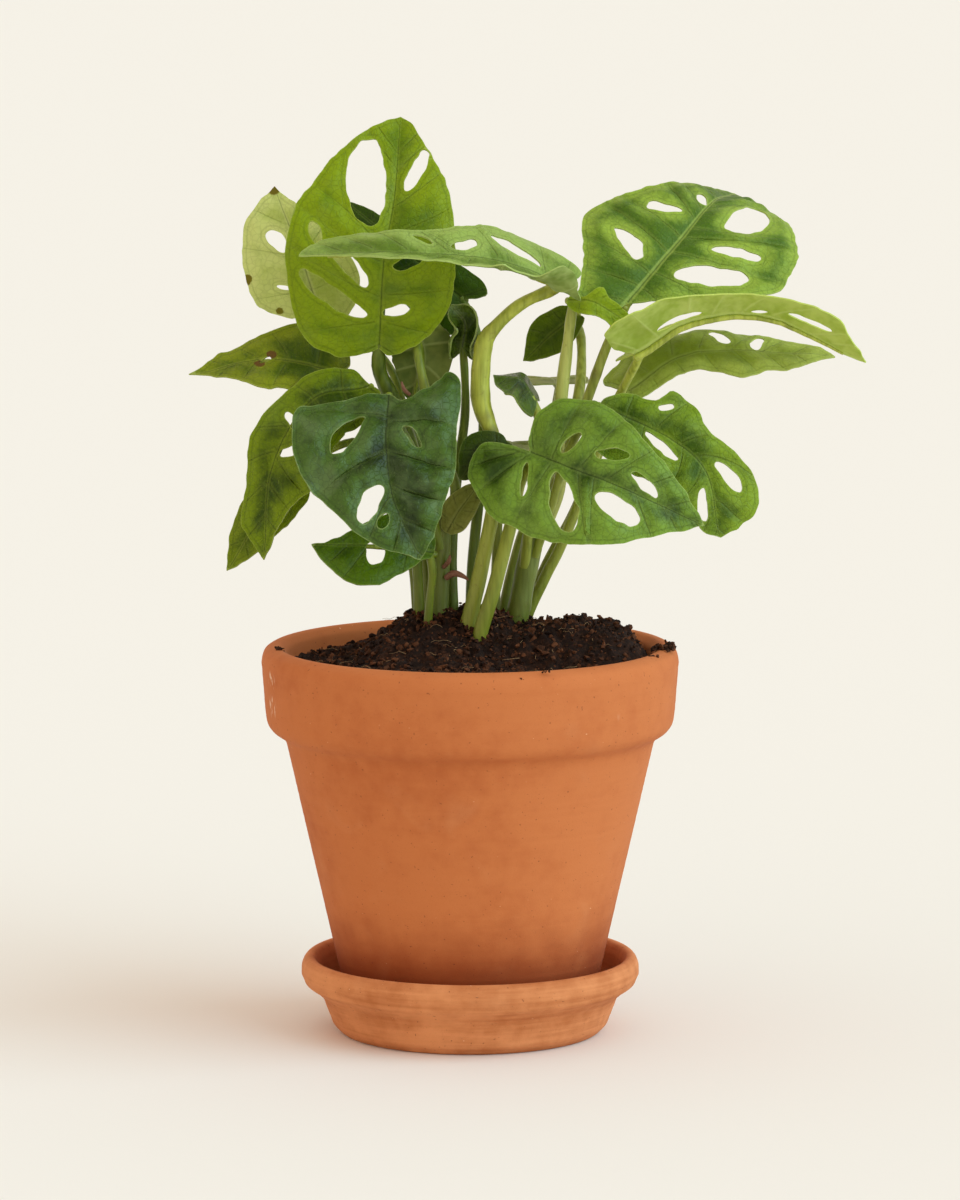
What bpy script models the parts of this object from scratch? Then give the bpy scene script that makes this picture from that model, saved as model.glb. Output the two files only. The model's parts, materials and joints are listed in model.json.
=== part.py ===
"""Monstera adansonii in a turned terracotta pot on its saucer.

The origin is the centre of the saucer's underside, +Z is up and -Y is the front of the plant.
Sizes are written in millimetres and scaled to metres where a mesh is made.
Every leaf is a pierced blade bent over its own midrib, and a stalk that seats under the blade's base.
"""

import math
from dataclasses import dataclass

import bmesh
import bpy
import numpy as np
from mathutils import Vector, noise
from mathutils.geometry import delaunay_2d_cdt

MM = 0.001
GAP = 0.3

# Pot and saucer
SAUCER_BASE_RADIUS = 49.0
SAUCER_LIP_RADIUS = 64.0
SAUCER_HEIGHT = 29.0
SAUCER_FLOOR = 5.0
POT_FOOT = SAUCER_FLOOR + GAP
POT_FOOT_RADIUS = 45.6
POT_SHOULDER_RADIUS = 69.3
POT_SHOULDER = 111.5
POT_RIM_RADIUS = 78.5
POT_HEIGHT = 147.0
POT_WALL = 6.5
POT_MOUTH_INSET = 9.0
POT_FLOOR = POT_FOOT + 8.0
POT_CORNER = (3.0, 4.0)
FOOT_CHAMFER = 1.5
DRAIN_RADIUS = 7.0
TURNED_STEPS = 44
SHARP_ANGLE = math.radians(40)
# The rim band from its shoulder up: how far inside the rim's radius, and how high above the shoulder
POT_BAND = ((3.9, 3.8), (2.1, 6.5), (1.5, 10.5))
# The lip from its outside to its inside: how far inside the rim's radius, and how far below the top
POT_LIP = ((0.0, 5.5), (1.0, 1.8), (4.0, 0.0), (6.8, 0.0))
MOUTH_DROP = 2.5
# The saucer's wall outside and inside: how far inside the lip's radius, and the height
SAUCER_OUTSIDE = ((12.0, 3.0), (8.0, 13.6), (5.0, 16.2), (1.5, 18.5), (0.0, 22.5), (0.5, 26.5), (2.5, SAUCER_HEIGHT))
SAUCER_INSIDE = ((5.0, 28.5), (6.5, 25.5), (8.5, 17.0), (12.5, SAUCER_FLOOR + 2.5), (15.5, SAUCER_FLOOR))

# Soil: the crown and the shelf as height, centre and reach, a swell at the front, and lumps as height, size and seed
SOIL_STEPS = 40
SOIL_RINGS = 11
SOIL_EDGE = 140.0
SOIL_CROWN = (20.0, (-6, 2), (30, 36))
SOIL_SHELF = (15.5, (36, -2), (28, 30))
SOIL_FRONT = (4.0, -66, 16)
SOIL_LUMPS = ((2.2, 9.0, 3.7), (1.3, 4.5, 8.1))
SOIL_WALL_PLAY = GAP + 0.1
SOCKET_PLAY = 1.6 * GAP

# Leaves and stems
BLADE_THICKNESS = 0.8
BLADE_CELL = 9.0
MARGIN_STEP = 6.5
HOLE_STEP = 4.6
GRID_ROW = 0.87
GRID_CLEARANCE = 0.45
STALK_SIDES = 6
STALK_STEP = 11.0
SEAT_PLACE = 2.0
ROOTED_DEPTH = 122.0
STALK_ROOT_TAPER = 0.8
CANE_ROOT_TAPER = 0.9


@dataclass
class Leaf:
    """Spine, margins and holes in millimetres: s runs from base to tip, t across, to the right of the midrib."""

    name: str
    spine: tuple
    face: tuple
    left: tuple
    right: tuple
    holes: tuple = ()
    fold: tuple = (0, 0)
    curl: tuple = (0, 0)
    face_tip: tuple = None
    stalk: tuple = ()
    carrier: tuple = None
    stalk_tip: float = 1.5
    colour: tuple = (0.10, 0.22, 0.03)


LEAVES = (
    Leaf(
        "upright",
        spine=((-34, -6, 259), (-32, -10, 292), (-28, -2, 316), (-26, 18, 344)),
        face=(0, -1, 0.15),
        fold=(8, 12),
        curl=(18, 30),
        left=((-3, 8), (-3, 18), (4, 29), (22, 35), (38, 37), (56, 33), (76, 22), (88, 10)),
        right=((-2, 4), (0, 9), (7, 19), (20, 26), (42, 26), (62, 20), (80, 11), (91, 4)),
        holes=(
            (82.5, -10, 45.5, -6.5, 10.5, 4.5),
            (79, 10.5, 61.5, 4, 2.3, 3.4),
            (43, -29, 36, -24, 2.2, 2.2),
            (37.5, -21, 24, -5.5, 2.2, 3.6),
            (28, -30.5, 12.5, -5.5, 4.2, 2.6),
            (31.5, 3.5, 36.5, 14, 2.4, 1.8),
            (13.6, 0.8, 16.6, 10.8, 1.6, 2),
        ),
        stalk=((-22, 4, 220, 3.2), (-30, 1, 241, 3.4), (-34, -1, 251, 2.6)),
        carrier=("cane_left", 190, 125, 2.8),
        stalk_tip=2.0,
        colour=(0.20, 0.36, 0.02),
    ),
    Leaf(
        "pale_left",
        spine=((-56, 22, 267), (-64, 22, 292), (-74, 32, 317)),
        face=(-0.2, -1, 0.1),
        left=((3, 4), (5, 12), (10, 19), (14, 22), (24, 22.5), (36, 21), (46, 16), (52, 7)),
        right=((-2, 4), (0, 12), (12, 19), (28, 16), (38, 10), (48, 4)),
        holes=((40, -9, 29.5, -4.5, 2.2, 3), (17.5, -12.5, 14.5, -7, 0.8, 1)),
        stalk=((-9, 9, 150, 1.8), (-10, 10, 185, 1.8), (-16, 11, 212, 1.7), (-24, 13, 233, 1.6),
               (-31, 18, 251, 1.5), (-44, 27, 262, 1.4)),
        colour=(0.30, 0.42, 0.13),
    ),
    Leaf(
        "shaded_middle",
        spine=((-2, 12, 276), (-23, 16, 293), (-47, 34, 311)),
        face=(0, -1, 0.3),
        left=((-6, 4), (-8, 9), (-2, 15), (12, 16), (30, 13), (48, 8), (58, 4)),
        right=((-4, 4), (-5, 7), (1, 9.5), (14, 8.5), (32, 6), (50, 4), (58, 2)),
        stalk=((0, 12, 149, 2), (1, 12, 178, 2), (4, 11, 208, 1.9), (5, 11, 239, 1.8), (3, 13, 262, 1.6)),
        colour=(0.04, 0.13, 0.01),
    ),
    Leaf(
        "level_front",
        spine=((36, -12, 284), (11, -30, 294), (-26, -40, 298), (-63, -36, 296)),
        face=(0, -0.5, 1),
        face_tip=(0, -0.2, 1),
        fold=((-45, 20), (15, 10)),
        curl=((-150, 10), (0, 10)),
        left=((-3, 3), (-4, 8), (3, 16), (12, 22), (20, 22), (25, 15), (31, 14), (38, 19), (44, 14), (62, 11),
              (80, 8), (98, 3)),
        right=((-6, 4), (-8, 9), (-1, 15), (12, 21.5), (30, 22), (46, 17), (70, 14), (90, 14.5), (100, 12), (106, 6)),
        holes=((33, 13, 10, 6, 3, 4), (51, 4, 40.5, 8.5, 3.2, 2.2), (65, 10.5, 58, 5.5, 1.6, 1.8)),
        stalk=((-2, -12, 148, 3.1), (4, -12, 177, 2.9), (9, -12, 203, 2.6), (9, -10, 224, 2.5),
               (4, -8, 240, 3.6), (5, -8, 260, 3.3), (9.5, -8, 267.5, 2.5), (19, -8, 276, 2.4), (30, -7, 281, 2.2)),
        stalk_tip=1.8,
        colour=(0.16, 0.33, 0.06),
    ),
    Leaf(
        "broad_right",
        spine=((58, 2, 275), (76, 22, 294), (92, 48, 310), (102, 80, 311)),
        face=(0, -0.8, 0.6),
        fold=(5, 5),
        curl=(20, 20),
        left=((-8, 2), (-12, 8), (-8, 16), (0, 20), (10, 25), (22, 34), (32, 37), (48, 31), (66, 19), (88, 10)),
        right=((4, 4), (11, 12), (21, 24), (31, 36), (42, 43), (52, 42), (64, 39), (80, 28), (94, 12)),
        holes=(
            (50, -19.5, 53.5, -6.5, 4.6, 1.2, 0.36),
            (68.7, -5.6, 63, -1.5, 2.2, 1.8),
            (78, 15.5, 54.5, 12.5, 4, 9),
            (40.5, 12.5, 49, 30, 2, 2.4),
            (22, 7.5, 38, 31, 4, 4.6),
            (29.5, -23, 20.5, -7, 2.8, 4.2, 0.6),
        ),
        stalk=((38, 6, 224, 1.9), (44, 7, 239, 1.9), (50, 6, 256, 1.9), (55, 5, 268, 1.8)),
        carrier=("cane_right", 195, 50, 2.0),
        colour=(0.15, 0.32, 0.04),
    ),
    Leaf(
        "level_right",
        spine=((61, -11, 258), (82, -9, 270), (112, -6, 271), (148, -2, 253.5)),
        face=(0.1, 0, 1),
        fold=(-6, 40),
        left=((-6, 6), (-6, 14), (4, 20), (20, 22), (40, 20), (60, 14), (80, 6)),
        right=((-6, 8), (-8, 20), (-4, 25), (4, 26), (14, 22), (28, 15), (42, 12), (56, 13), (68, 15), (77, 15),
               (83, 10), (90, 5)),
        holes=(
            (11.5, 5.5, 28.5, 3.5, 1.8, 2.6),
            (47, 1.5, 53, 2.5, 0.9, 0.9),
            (60, 5.5, 77, 7, 1.4, 1.6),
            (34, -14, 20, -5, 2, 2.4),
            (56, -10, 44, -4, 1.6, 1.8),
        ),
        stalk=((20, 16, 150, 2.2), (28, 15, 170, 2.2), (34, 14, 182, 2.1), (43, 11, 205, 2.0), (49, 6, 224, 1.9),
               (55, 1, 239, 1.8)),
        colour=(0.27, 0.42, 0.10),
    ),
    Leaf(
        "low_right",
        spine=((59, 8, 242), (79, 10, 255), (105, 12, 257), (137, 14, 254)),
        face=(0.1, -0.3, 1),
        fold=(5, -20),
        left=((-4, 5), (-6, 12), (0, 17), (12, 19), (26, 17), (38, 15.5), (50, 12.5), (60, 10), (70, 7), (78, 5)),
        right=((-3, 3), (0, 6), (10, 7), (22, 8), (34, 10), (42, 14.5), (47, 16), (52, 14), (57, 10.5), (64, 9.5),
               (72, 5)),
        holes=((43, -4, 37, -13.5, 2.4, 2.2), (55, -9.5, 51.5, -1, 2.2, 2.2)),
        stalk=((19, 26, 149, 2.2), (28, 24, 172, 2.1), (40, 21, 196, 2), (49, 17, 219, 1.9), (54, 13, 233, 1.7)),
        colour=(0.17, 0.27, 0.06),
    ),
    Leaf(
        "front_right",
        spine=((22, -26, 223), (37, -36, 218), (57, -44, 211), (86, -42, 197)),
        face=(0, -1, 0.35),
        fold=(4, 4),
        curl=(20, 15),
        left=((-3, 5), (-4, 13), (-1, 21), (7, 26), (13, 27.5), (26, 26), (36, 22), (49, 16), (68, 5)),
        right=((-9, 1), (-17, 2.5), (-20, 8), (-16, 19), (-2, 28), (8, 29), (21, 29), (33, 26), (47, 20), (59, 11)),
        holes=(
            (17, -13, 12, -4.5, 2.6, 2.4),
            (38, -12, 25.5, -8, 2.6, 2.4),
            (53.5, -2.6, 41.5, -6.5, 1.8, 2),
            (1.5, 4.5, 7.5, 17, 1.4, 1.6),
            (14.5, 4, 29.5, 22.5, 4.4, 5, 0.62),
            (33, 5.5, 51.5, 9.5, 4.6, 3.4),
        ),
        stalk=((3, -20, 149, 2.7), (9, -20, 171, 2.7), (15, -19, 194, 2.4), (19, -20, 211, 2.0)),
        colour=(0.08, 0.22, 0.02),
    ),
    Leaf(
        "behind_right",
        spine=((48, -10, 239), (74, -16, 227), (88, -20, 214), (93, -20, 190)),
        face=(0.1, -1, 0.4),
        fold=(2, 2),
        curl=(15, 10),
        left=((2, 5), (9, 9), (18, 10), (22, 17), (30, 16), (39, 11), (48, 13), (57, 17), (67, 15), (72, 8)),
        right=((-4, 4), (-3, 10), (6, 16), (20, 19), (36, 18), (50, 14), (62, 9), (70, 5)),
        holes=((25, -12, 21, -8, 1.6, 1.4), (20.5, 2, 37, 5, 3, 0.8), (54, 3, 66.5, 4, 3, 1),
               (58, -11, 47.5, -4.5, 2.2, 2.6)),
        stalk=((31, -2, 202, 1.8), (36, -6, 219, 1.8), (43, -8, 232, 1.6)),
        carrier=("cane_right", 182, -60, 1.8),
        colour=(0.10, 0.25, 0.03),
    ),
    Leaf(
        "front_left",
        spine=((-30, -22, 244), (-31, -34, 228), (-28, -44, 207), (-18, -48, 185)),
        face=(0, -1, 0.3),
        fold=(6, 6),
        curl=(10, 10),
        left=((3, 5), (1, 10), (-4, 17), (-10, 22), (-4, 26), (20, 26), (34, 25), (48, 20), (60, 10)),
        right=((1, 8), (5, 17), (10, 32), (15, 35), (24, 34), (34, 30), (44, 21), (52, 16), (62, 7)),
        holes=((11, 8.5, 24.5, 20, 3.2, 3.4, 0.6), (15, -7, 24, -12.5, 1.7, 2.2), (38, 3, 47.5, 14.5, 3.4, 2.9),
               (48, 4, 51.5, 9, 1.8, 1.6)),
        stalk=((-19, -13, 215, 2), (-26, -17, 231, 1.8)),
        carrier=("cane_left", 186, -95, 2.0),
        colour=(0.03, 0.11, 0.03),
    ),
    Leaf(
        "arching_left",
        spine=((-37, -8, 246), (-59, -14, 241), (-74, -18, 215), (-77, -16, 181)),
        face=(-0.4, -1, 0.5),
        left=((-2, 6), (6, 14), (20, 20), (40, 21), (56, 19), (64, 13), (75, 5.5), (84, 2)),
        right=((2, 4), (5, 8), (14, 9), (28, 10), (40, 12.5), (50, 12), (58, 9), (68, 9.5), (76, 10), (83, 5)),
        holes=((36, -3, 33, 4.5, 1.6, 1.6), (48, -1.5, 41.5, -9, 2, 2)),
        stalk=((-19, -4, 153, 2.0), (-20, -5, 180, 2), (-23, -7, 210, 2), (-31, -7, 233, 1.8)),
        colour=(0.14, 0.30, 0.02),
    ),
    Leaf(
        "hanging_left",
        spine=((-64, 2, 210), (-78, 0, 197), (-91, -2, 175)),
        face=(-0.3, -1, 0.3),
        left=((-2, 4), (4, 9), (16, 11), (30, 8), (40, 3)),
        right=((-2, 4), (4, 8), (16, 9), (30, 7), (40, 3)),
        stalk=((-20, 18, 151, 1.8), (-22, 16, 177, 1.8), (-28, 13, 206, 1.7), (-40, 9, 222, 1.6), (-54, 6, 219, 1.5)),
        colour=(0.10, 0.20, 0.02),
    ),
    Leaf(
        "pointed_left",
        spine=((-47, 9, 249), (-75, 6, 254.5), (-105, 2, 248.5)),
        face=(0, -0.7, 1),
        left=((-2, 6), (2, 14), (12, 18), (23, 17.5), (32, 17), (38, 14), (46, 6.5), (54, 1.5)),
        right=((-2, 6), (2, 16), (12, 22), (22, 19), (30, 13), (40, 8), (47, 7), (55, 2.5)),
        holes=((33, -2.5, 28, 1, 1, 1.2),),
        stalk=((-16, 8, 151, 1.8), (-17, 8, 178, 1.8), (-24, 8, 209, 1.8), (-35, 7, 235, 1.7)),
        colour=(0.14, 0.26, 0.03),
    ),
    Leaf(
        "low_front",
        spine=((-13, -17, 184), (-32, -20, 187), (-59, -25, 188)),
        face=(0, -1, 0.6),
        left=((2, 3), (5, 4.5), (12, 10.5), (20, 15.5), (27, 17), (32, 15.5), (38, 12), (44, 5)),
        right=((0, 6), (4, 12), (14, 14), (26, 9), (34, 4), (42, 1)),
        holes=((24, -8, 22.5, 1, 4, 3.6),),
        stalk=((-16, -12, 151, 1.6), (-15, -13, 166, 1.6), (-14, -14.5, 176, 1.5)),
        colour=(0.07, 0.20, 0.02),
    ),
    Leaf(
        "curled_young",
        spine=((-3, 3, 257), (-2, -1, 268), (-7, -3, 275)),
        face=(0, -1, 0.3),
        curl=(-130, -130),
        left=((-2, 5), (2, 10), (9, 11), (16, 8)),
        right=((-2, 5), (2, 10), (9, 11), (16, 8)),
        stalk=((-6, 4, 148, 2.1), (-7, 3, 179, 2.1), (-5, 3, 209, 1.9), (-2, 5, 232, 1.7), (-2, 5, 248, 1.5)),
        stalk_tip=1.3,
        colour=(0.06, 0.17, 0.02),
    ),
    Leaf(
        "hanging_middle",
        spine=((-20, -3, 266), (-18, 4, 254), (-22, 10, 236)),
        face=(0, 1, 0.1),
        left=((-3, 3), (-3, 7), (4, 11), (16, 11), (26, 6)),
        right=((-3, 3), (-3, 7), (4, 11), (16, 11), (26, 6)),
        stalk=((-5.5, -4, 207, 2), (-12, -7, 223, 2), (-16, -8, 240, 2), (-19, -7, 255, 1.7)),
        carrier=("cane_left", 194, 0, 2.0),
        colour=(0.12, 0.18, 0.03),
    ),
    Leaf(
        "folded_young",
        spine=((25, -3, 240), (19, -5, 248), (9, -4, 249)),
        face=(0, -0.4, 1),
        fold=(-40, -30),
        curl=(-60, -30),
        left=((-2, 4), (-2, 9), (5, 13), (13, 12), (18, 6)),
        right=((-2, 4), (0, 8), (6, 9), (14, 6)),
        stalk=((23, -3.5, 202, 2), (25, -4, 214, 2), (27, -2, 228, 1.8)),
        carrier=("cane_right", 178, -120, 2.0),
        colour=(0.05, 0.16, 0.02),
    ),
    Leaf(
        "olive_back",
        spine=((40, 26, 269), (30, 28, 261), (20, 26, 251)),
        face=(-0.2, -1, 0.3),
        left=((-2, 3), (4, 7), (14, 8), (22, 4)),
        right=((-2, 3), (4, 7), (14, 8), (22, 4)),
        stalk=((36, 14, 223, 2.2), (41, 18, 240, 2.1), (42, 30, 259, 1.7)),
        carrier=("cane_right", 195, 100, 2.2),
        colour=(0.11, 0.18, 0.02),
    ),
    Leaf(
        "small_middle",
        spine=((15, -15, 222), (5, -16, 222), (-4, -17, 211)),
        face=(-0.2, -1, 0.3),
        left=((-1, 2.5), (4, 6), (12, 8), (20, 4)),
        right=((-1, 2.5), (4, 6), (12, 8), (20, 4)),
        stalk=((15, -14, 211, 1.3), (15.5, -12.5, 217, 1.2)),
        carrier=("stalk_front_right", 198, 100, 1.3),
        stalk_tip=1.1,
        colour=(0.05, 0.15, 0.02),
    ),
    Leaf(
        "bright_centre",
        spine=((36, -3, 277.5), (46, -9, 277), (59, -9, 269)),
        face=(0, -1, 0.4),
        left=((2, 1.5), (8, 1.5), (12, 6.5), (16, 4), (21, 4), (25, 3)),
        right=((1, 3), (5, 5), (10, 6), (15, 5), (19, 4), (24, 4.5)),
        stalk=((33.5, 4.5, 206, 2.4), (33, 2, 222, 2.4), (34, 0, 240, 2.5), (36, -1, 257, 2.3)),
        carrier=("cane_right", 190, 0, 2.3),
        colour=(0.25, 0.42, 0.05),
    ),
    Leaf(
        "high_back",
        spine=((34, 26, 243), (31, 48, 243), (24, 84, 238)),
        face=(0, -0.1, 1),
        left=((-3, 4), (-4, 10), (6, 16), (22, 15), (42, 10), (54, 4)),
        right=((-3, 4), (-4, 8), (6, 12), (24, 12), (42, 8), (54, 3)),
        holes=((14, -6, 28, -9, 2, 2), (18, 4, 32, 6, 1.6, 1.6)),
        stalk=((12, 20, 150, 2.2), (17, 22, 176, 2.1), (27, 26, 208, 2), (32, 26, 231, 1.7)),
        colour=(0.22, 0.33, 0.10),
    ),
    Leaf(
        "low_back",
        spine=((12, 20, 219), (16, 42, 219), (24, 66, 212)),
        face=(0, -0.35, 1),
        left=((-3, 4), (-3, 9), (8, 13), (24, 12), (40, 6)),
        right=((-3, 4), (-3, 9), (8, 13), (24, 12), (40, 6)),
        holes=((14, -4, 26, -7, 1.8, 1.8),),
        stalk=((9, 16, 150, 2), (10, 17, 177, 1.9), (11, 18, 204, 1.6)),
        colour=(0.18, 0.24, 0.08),
    ),
)

# Each cane's centre line and radius, from the soil up
CANES = {
    "cane_left": ((-12, -2, 147, 4.2), (-12, -2, 165, 4.1), (-11, -2, 188, 3.9), (-10.5, -2, 199, 3.1)),
    "cane_right": ((17, 6, 148, 4.2), (19, 6, 163, 4.2), (24, 6, 188, 4.0), (27, 6, 202, 3.2)),
}

SHEATH = Leaf(
    "sheath",
    spine=((-9, -6.9, 190), (-4, -8.4, 199), (3, -7.4, 208)),
    face=(-0.3, -1, 0.3),
    left=((1, 3), (6, 6), (14, 6), (20, 3)),
    right=((1, 3), (6, 6), (14, 6), (20, 3)),
    colour=(0.27, 0.28, 0.12),
)


def unit(vector):
    """The vector, or each row of vectors, at length 1."""
    vector = np.asarray(vector, float)
    return vector / np.linalg.norm(vector, axis=-1, keepdims=True)


def smooth(points, pieces, lead=0.0):
    """A Catmull-Rom curve through the points; lead sets how far its ends keep on the run of the first three."""
    points = np.asarray(points, float)
    before = points[0] + lead * (points[0] - points[2])
    after = points[-1] + lead * (points[-1] - points[-3])
    ends = np.vstack([before, points, after])
    curve = []
    for before, start, end, after in zip(ends, ends[1:], ends[2:], ends[3:]):
        for u in np.arange(pieces) / pieces:
            curve.append(
                start
                + 0.5 * u * (end - before)
                + 0.5 * u**2 * (2 * before - 5 * start + 4 * end - after)
                + 0.5 * u**3 * (3 * start - before - 3 * end + after)
            )
    return np.array(curve + [points[-1]])


def spaced(curve, step, fewest=2):
    """Points at even distances along the curve, about one step apart, with both ends kept."""
    lengths = np.concatenate([[0], np.cumsum(np.linalg.norm(np.diff(curve[:, :3], axis=0), axis=1))])
    count = max(fewest, round(lengths[-1] / step))
    wanted = np.linspace(0, lengths[-1], count + 1)
    return np.stack([np.interp(wanted, lengths, column) for column in curve.T], axis=1)


class Bend:
    """Carries a leaf's flat (s, t) to its place: along the spine, folded and curled across it."""

    def __init__(self, leaf):
        self.leaf = leaf
        self.line = smooth(leaf.spine, 16, lead=0.5)
        steps = np.linalg.norm(np.diff(self.line, axis=0), axis=1)
        self.reach = np.concatenate([[0], np.cumsum(steps)])
        self.length = self.reach[-1]
        self.width = (max(t for _, t in leaf.left), max(t for _, t in leaf.right))

    def on_spine(self, s):
        inside = np.clip(s, 0, self.length)
        span = 0.04 * self.length

        def at(value):
            value = np.clip(value, 0, self.length)
            return np.stack([np.interp(value, self.reach, column) for column in self.line.T], axis=-1)

        along = unit(at(inside + span) - at(inside - span))
        return at(inside) + along * (s - inside)[..., None], along

    def angles(self, values, u, right):
        """Degrees at u along the leaf, for its left or right half, given as a pair or as base and tip pairs."""
        values = np.asarray(values, float)
        base, tip = (values, values) if values.ndim == 1 else values
        return np.radians(np.where(right, base[1] + (tip[1] - base[1]) * u, base[0] + (tip[0] - base[0]) * u))

    def point(self, s, t):
        leaf = self.leaf
        origin, along = self.on_spine(s)
        u = np.clip(s / self.length, 0, 1)
        face = np.asarray(leaf.face, float)
        turn = np.asarray(leaf.face_tip or leaf.face, float) - face
        up = face + turn * u[..., None]
        up = unit(up - (up * along).sum(-1, keepdims=True) * along)
        across = np.cross(along, up)
        right = t >= 0
        fold = self.angles(leaf.fold, u, right)
        bend = self.angles(leaf.curl, u, right) / np.where(right, self.width[1], self.width[0])
        bend = np.where(np.abs(bend) < 1e-6, 1e-6, bend)
        reach = np.abs(t)
        out = (np.sin(fold) - np.sin(fold - bend * reach)) / bend
        lift = (np.cos(fold - bend * reach) - np.cos(fold)) / bend
        return origin + across * (np.where(right, 1, -1) * out)[..., None] + up * lift[..., None]

    def normal(self, s, t):
        step = 0.2
        ds = self.point(s + step, t) - self.point(s - step, t)
        dt = self.point(s, t + step) - self.point(s, t - step)
        return unit(np.cross(dt, ds))


def hole_loop(hole, step):
    """A drop-shaped loop from one end to the other, with its own bulge on each side and its belly along the way."""
    start = np.array(hole[0:2], float)
    end = np.array(hole[2:4], float)
    bulges = hole[4:6]
    belly = hole[6] if len(hole) > 6 else 0.5
    reach = np.linalg.norm(end - start)
    count = max(7, round((2 * reach + bulges[0] + bulges[1]) / step))
    angle = 2 * math.pi * np.arange(count) / count
    along = (0.5 - 0.5 * np.cos(angle)) ** (math.log(belly) / math.log(0.5))
    direction = (end - start) / reach
    aside = np.array([-direction[1], direction[0]])
    rise = np.sign(np.sin(angle)) * np.abs(np.sin(angle)) ** 0.85 * np.where(np.sin(angle) > 0, *bulges)
    return start + along[:, None] * reach * direction + rise[:, None] * aside


def inside(points, loop):
    """Which of the points lie inside the closed loop."""
    x, y = points[:, 0:1], points[:, 1:2]
    ax, ay = loop[:, 0], loop[:, 1]
    bx, by = np.roll(ax, -1), np.roll(ay, -1)
    spans = (ay > y) != (by > y)
    rise = np.where(by == ay, 1, by - ay)
    return (spans & (x < (bx - ax) * (y - ay) / rise + ax)).sum(axis=1) % 2 == 1


def flat_blade(leaf, length):
    """The blade laid flat: (s, t) points and triangles, with the holes cut out."""
    sides = []
    for margin in (leaf.right, leaf.left):
        sides.append(spaced(smooth([(0, 0), *margin, (length, 0)], 8), MARGIN_STEP))
    outline = np.vstack([sides[0], (sides[1] * (1, -1))[::-1][1:-1]])
    holes = [hole_loop(hole, HOLE_STEP) for hole in leaf.holes]
    loops = [outline, *holes]
    border = np.vstack(loops)
    low, high = outline.min(axis=0), outline.max(axis=0)
    rows = np.arange(low[0], high[0], BLADE_CELL * GRID_ROW)
    grid = []
    for index, s in enumerate(rows):
        for t in np.arange(low[1], high[1], BLADE_CELL) + (index % 2) * BLADE_CELL / 2:
            grid.append((s, t))
    grid = np.array(grid)
    keep = inside(grid, outline)
    for hole in holes:
        keep &= ~inside(grid, hole)
    keep &= np.linalg.norm(grid[:, None] - border[None], axis=2).min(axis=1) > GRID_CLEARANCE * BLADE_CELL
    points = np.vstack([border, grid[keep]])
    edges = []
    start = 0
    for loop in loops:
        count = len(loop)
        edges += [(start + i, start + (i + 1) % count) for i in range(count)]
        start += count
    flat, _, faces, *_ = delaunay_2d_cdt([Vector(p) for p in points], edges, [], 1, 1e-5)
    flat = np.array([tuple(p) for p in flat])
    faces = np.array(faces)
    middles = flat[faces].mean(axis=1)
    keep = inside(middles, outline)
    for hole in holes:
        keep &= ~inside(middles, hole)
    return flat, faces[keep]


def thicken(upper, lower, faces):
    """One closed body between two sheets that share their triangles."""
    count = len(upper)
    sides = {}
    for a, b, c in faces:
        for edge in ((a, b), (b, c), (c, a)):
            if (edge[1], edge[0]) in sides:
                del sides[edge[1], edge[0]]
            else:
                sides[edge] = True
    body = [tuple(face) for face in faces]
    body += [(a + count, c + count, b + count) for a, b, c in faces]
    for a, b in sides:
        body += [(b, a, a + count), (b, a + count, b + count)]
    return np.vstack([upper, lower]), body


def material(name, colour, roughness):
    """The named finish, made where it is new."""
    found = bpy.data.materials.get(name) or bpy.data.materials.new(name)
    found.use_nodes = True
    shader = found.node_tree.nodes["Principled BSDF"]
    shader.inputs["Base Color"].default_value = (*colour, 1)
    shader.inputs["Roughness"].default_value = roughness
    return found


def add_object(name, points, faces, finish, rounded=False):
    """An object of its own from points in millimetres."""
    mesh = bpy.data.meshes.new(name)
    mesh.from_pydata((np.asarray(points) * MM).tolist(), [], [tuple(int(i) for i in face) for face in faces])
    shape = bmesh.new()
    shape.from_mesh(mesh)
    bmesh.ops.recalc_face_normals(shape, faces=shape.faces)
    shape.to_mesh(mesh)
    shape.free()
    if rounded:
        mesh.shade_smooth()
        mesh.set_sharp_from_angle(angle=SHARP_ANGLE)
    mesh.materials.append(finish)
    made = bpy.data.objects.new(name, mesh)
    bpy.context.scene.collection.objects.link(made)
    return made


def make_blade(leaf):
    bend = Bend(leaf)
    flat, faces = flat_blade(leaf, bend.length)
    s, t = flat.T
    middle = bend.point(s, t)
    normal = bend.normal(s, t) * BLADE_THICKNESS / 2
    points, body = thicken(middle + normal, middle - normal, faces)
    add_object(f"blade_{leaf.name}", points, body, material(f"leaf_{leaf.name}", leaf.colour, 0.45))


def tube(line, sides=STALK_SIDES):
    """Points and faces of a round tapering rod along (x, y, z, radius) rows, closed at both ends."""
    centres, radii = line[:, :3], line[:, 3]
    along = unit(np.gradient(centres, axis=0))
    across = unit(np.cross(along[0], (0.3, 1, 0)))
    points = []
    for centre, radius, direction in zip(centres, radii, along):
        across = unit(across - direction * (across @ direction))
        other = np.cross(direction, across)
        for angle in 2 * math.pi * np.arange(sides) / sides:
            points.append(centre + radius * (across * math.cos(angle) + other * math.sin(angle)))
    faces = []
    for ring in range(len(centres) - 1):
        for side in range(sides):
            after = (side + 1) % sides
            low = ring * sides
            faces.append((low + side, low + after, low + sides + after, low + sides + side))
    faces.append(tuple(range(sides))[::-1])
    faces.append(tuple(range(len(points) - sides, len(points))))
    return points, faces


def sides_of(name):
    """A cane is thicker than a stalk, so it has more sides."""
    return STALK_SIDES + 2 if name in CANES else STALK_SIDES


def centre_at(line, height):
    """Centre and radius where a rising line passes the height."""
    return np.array([np.interp(height, line[:, 2], column) for column in line.T])


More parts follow.
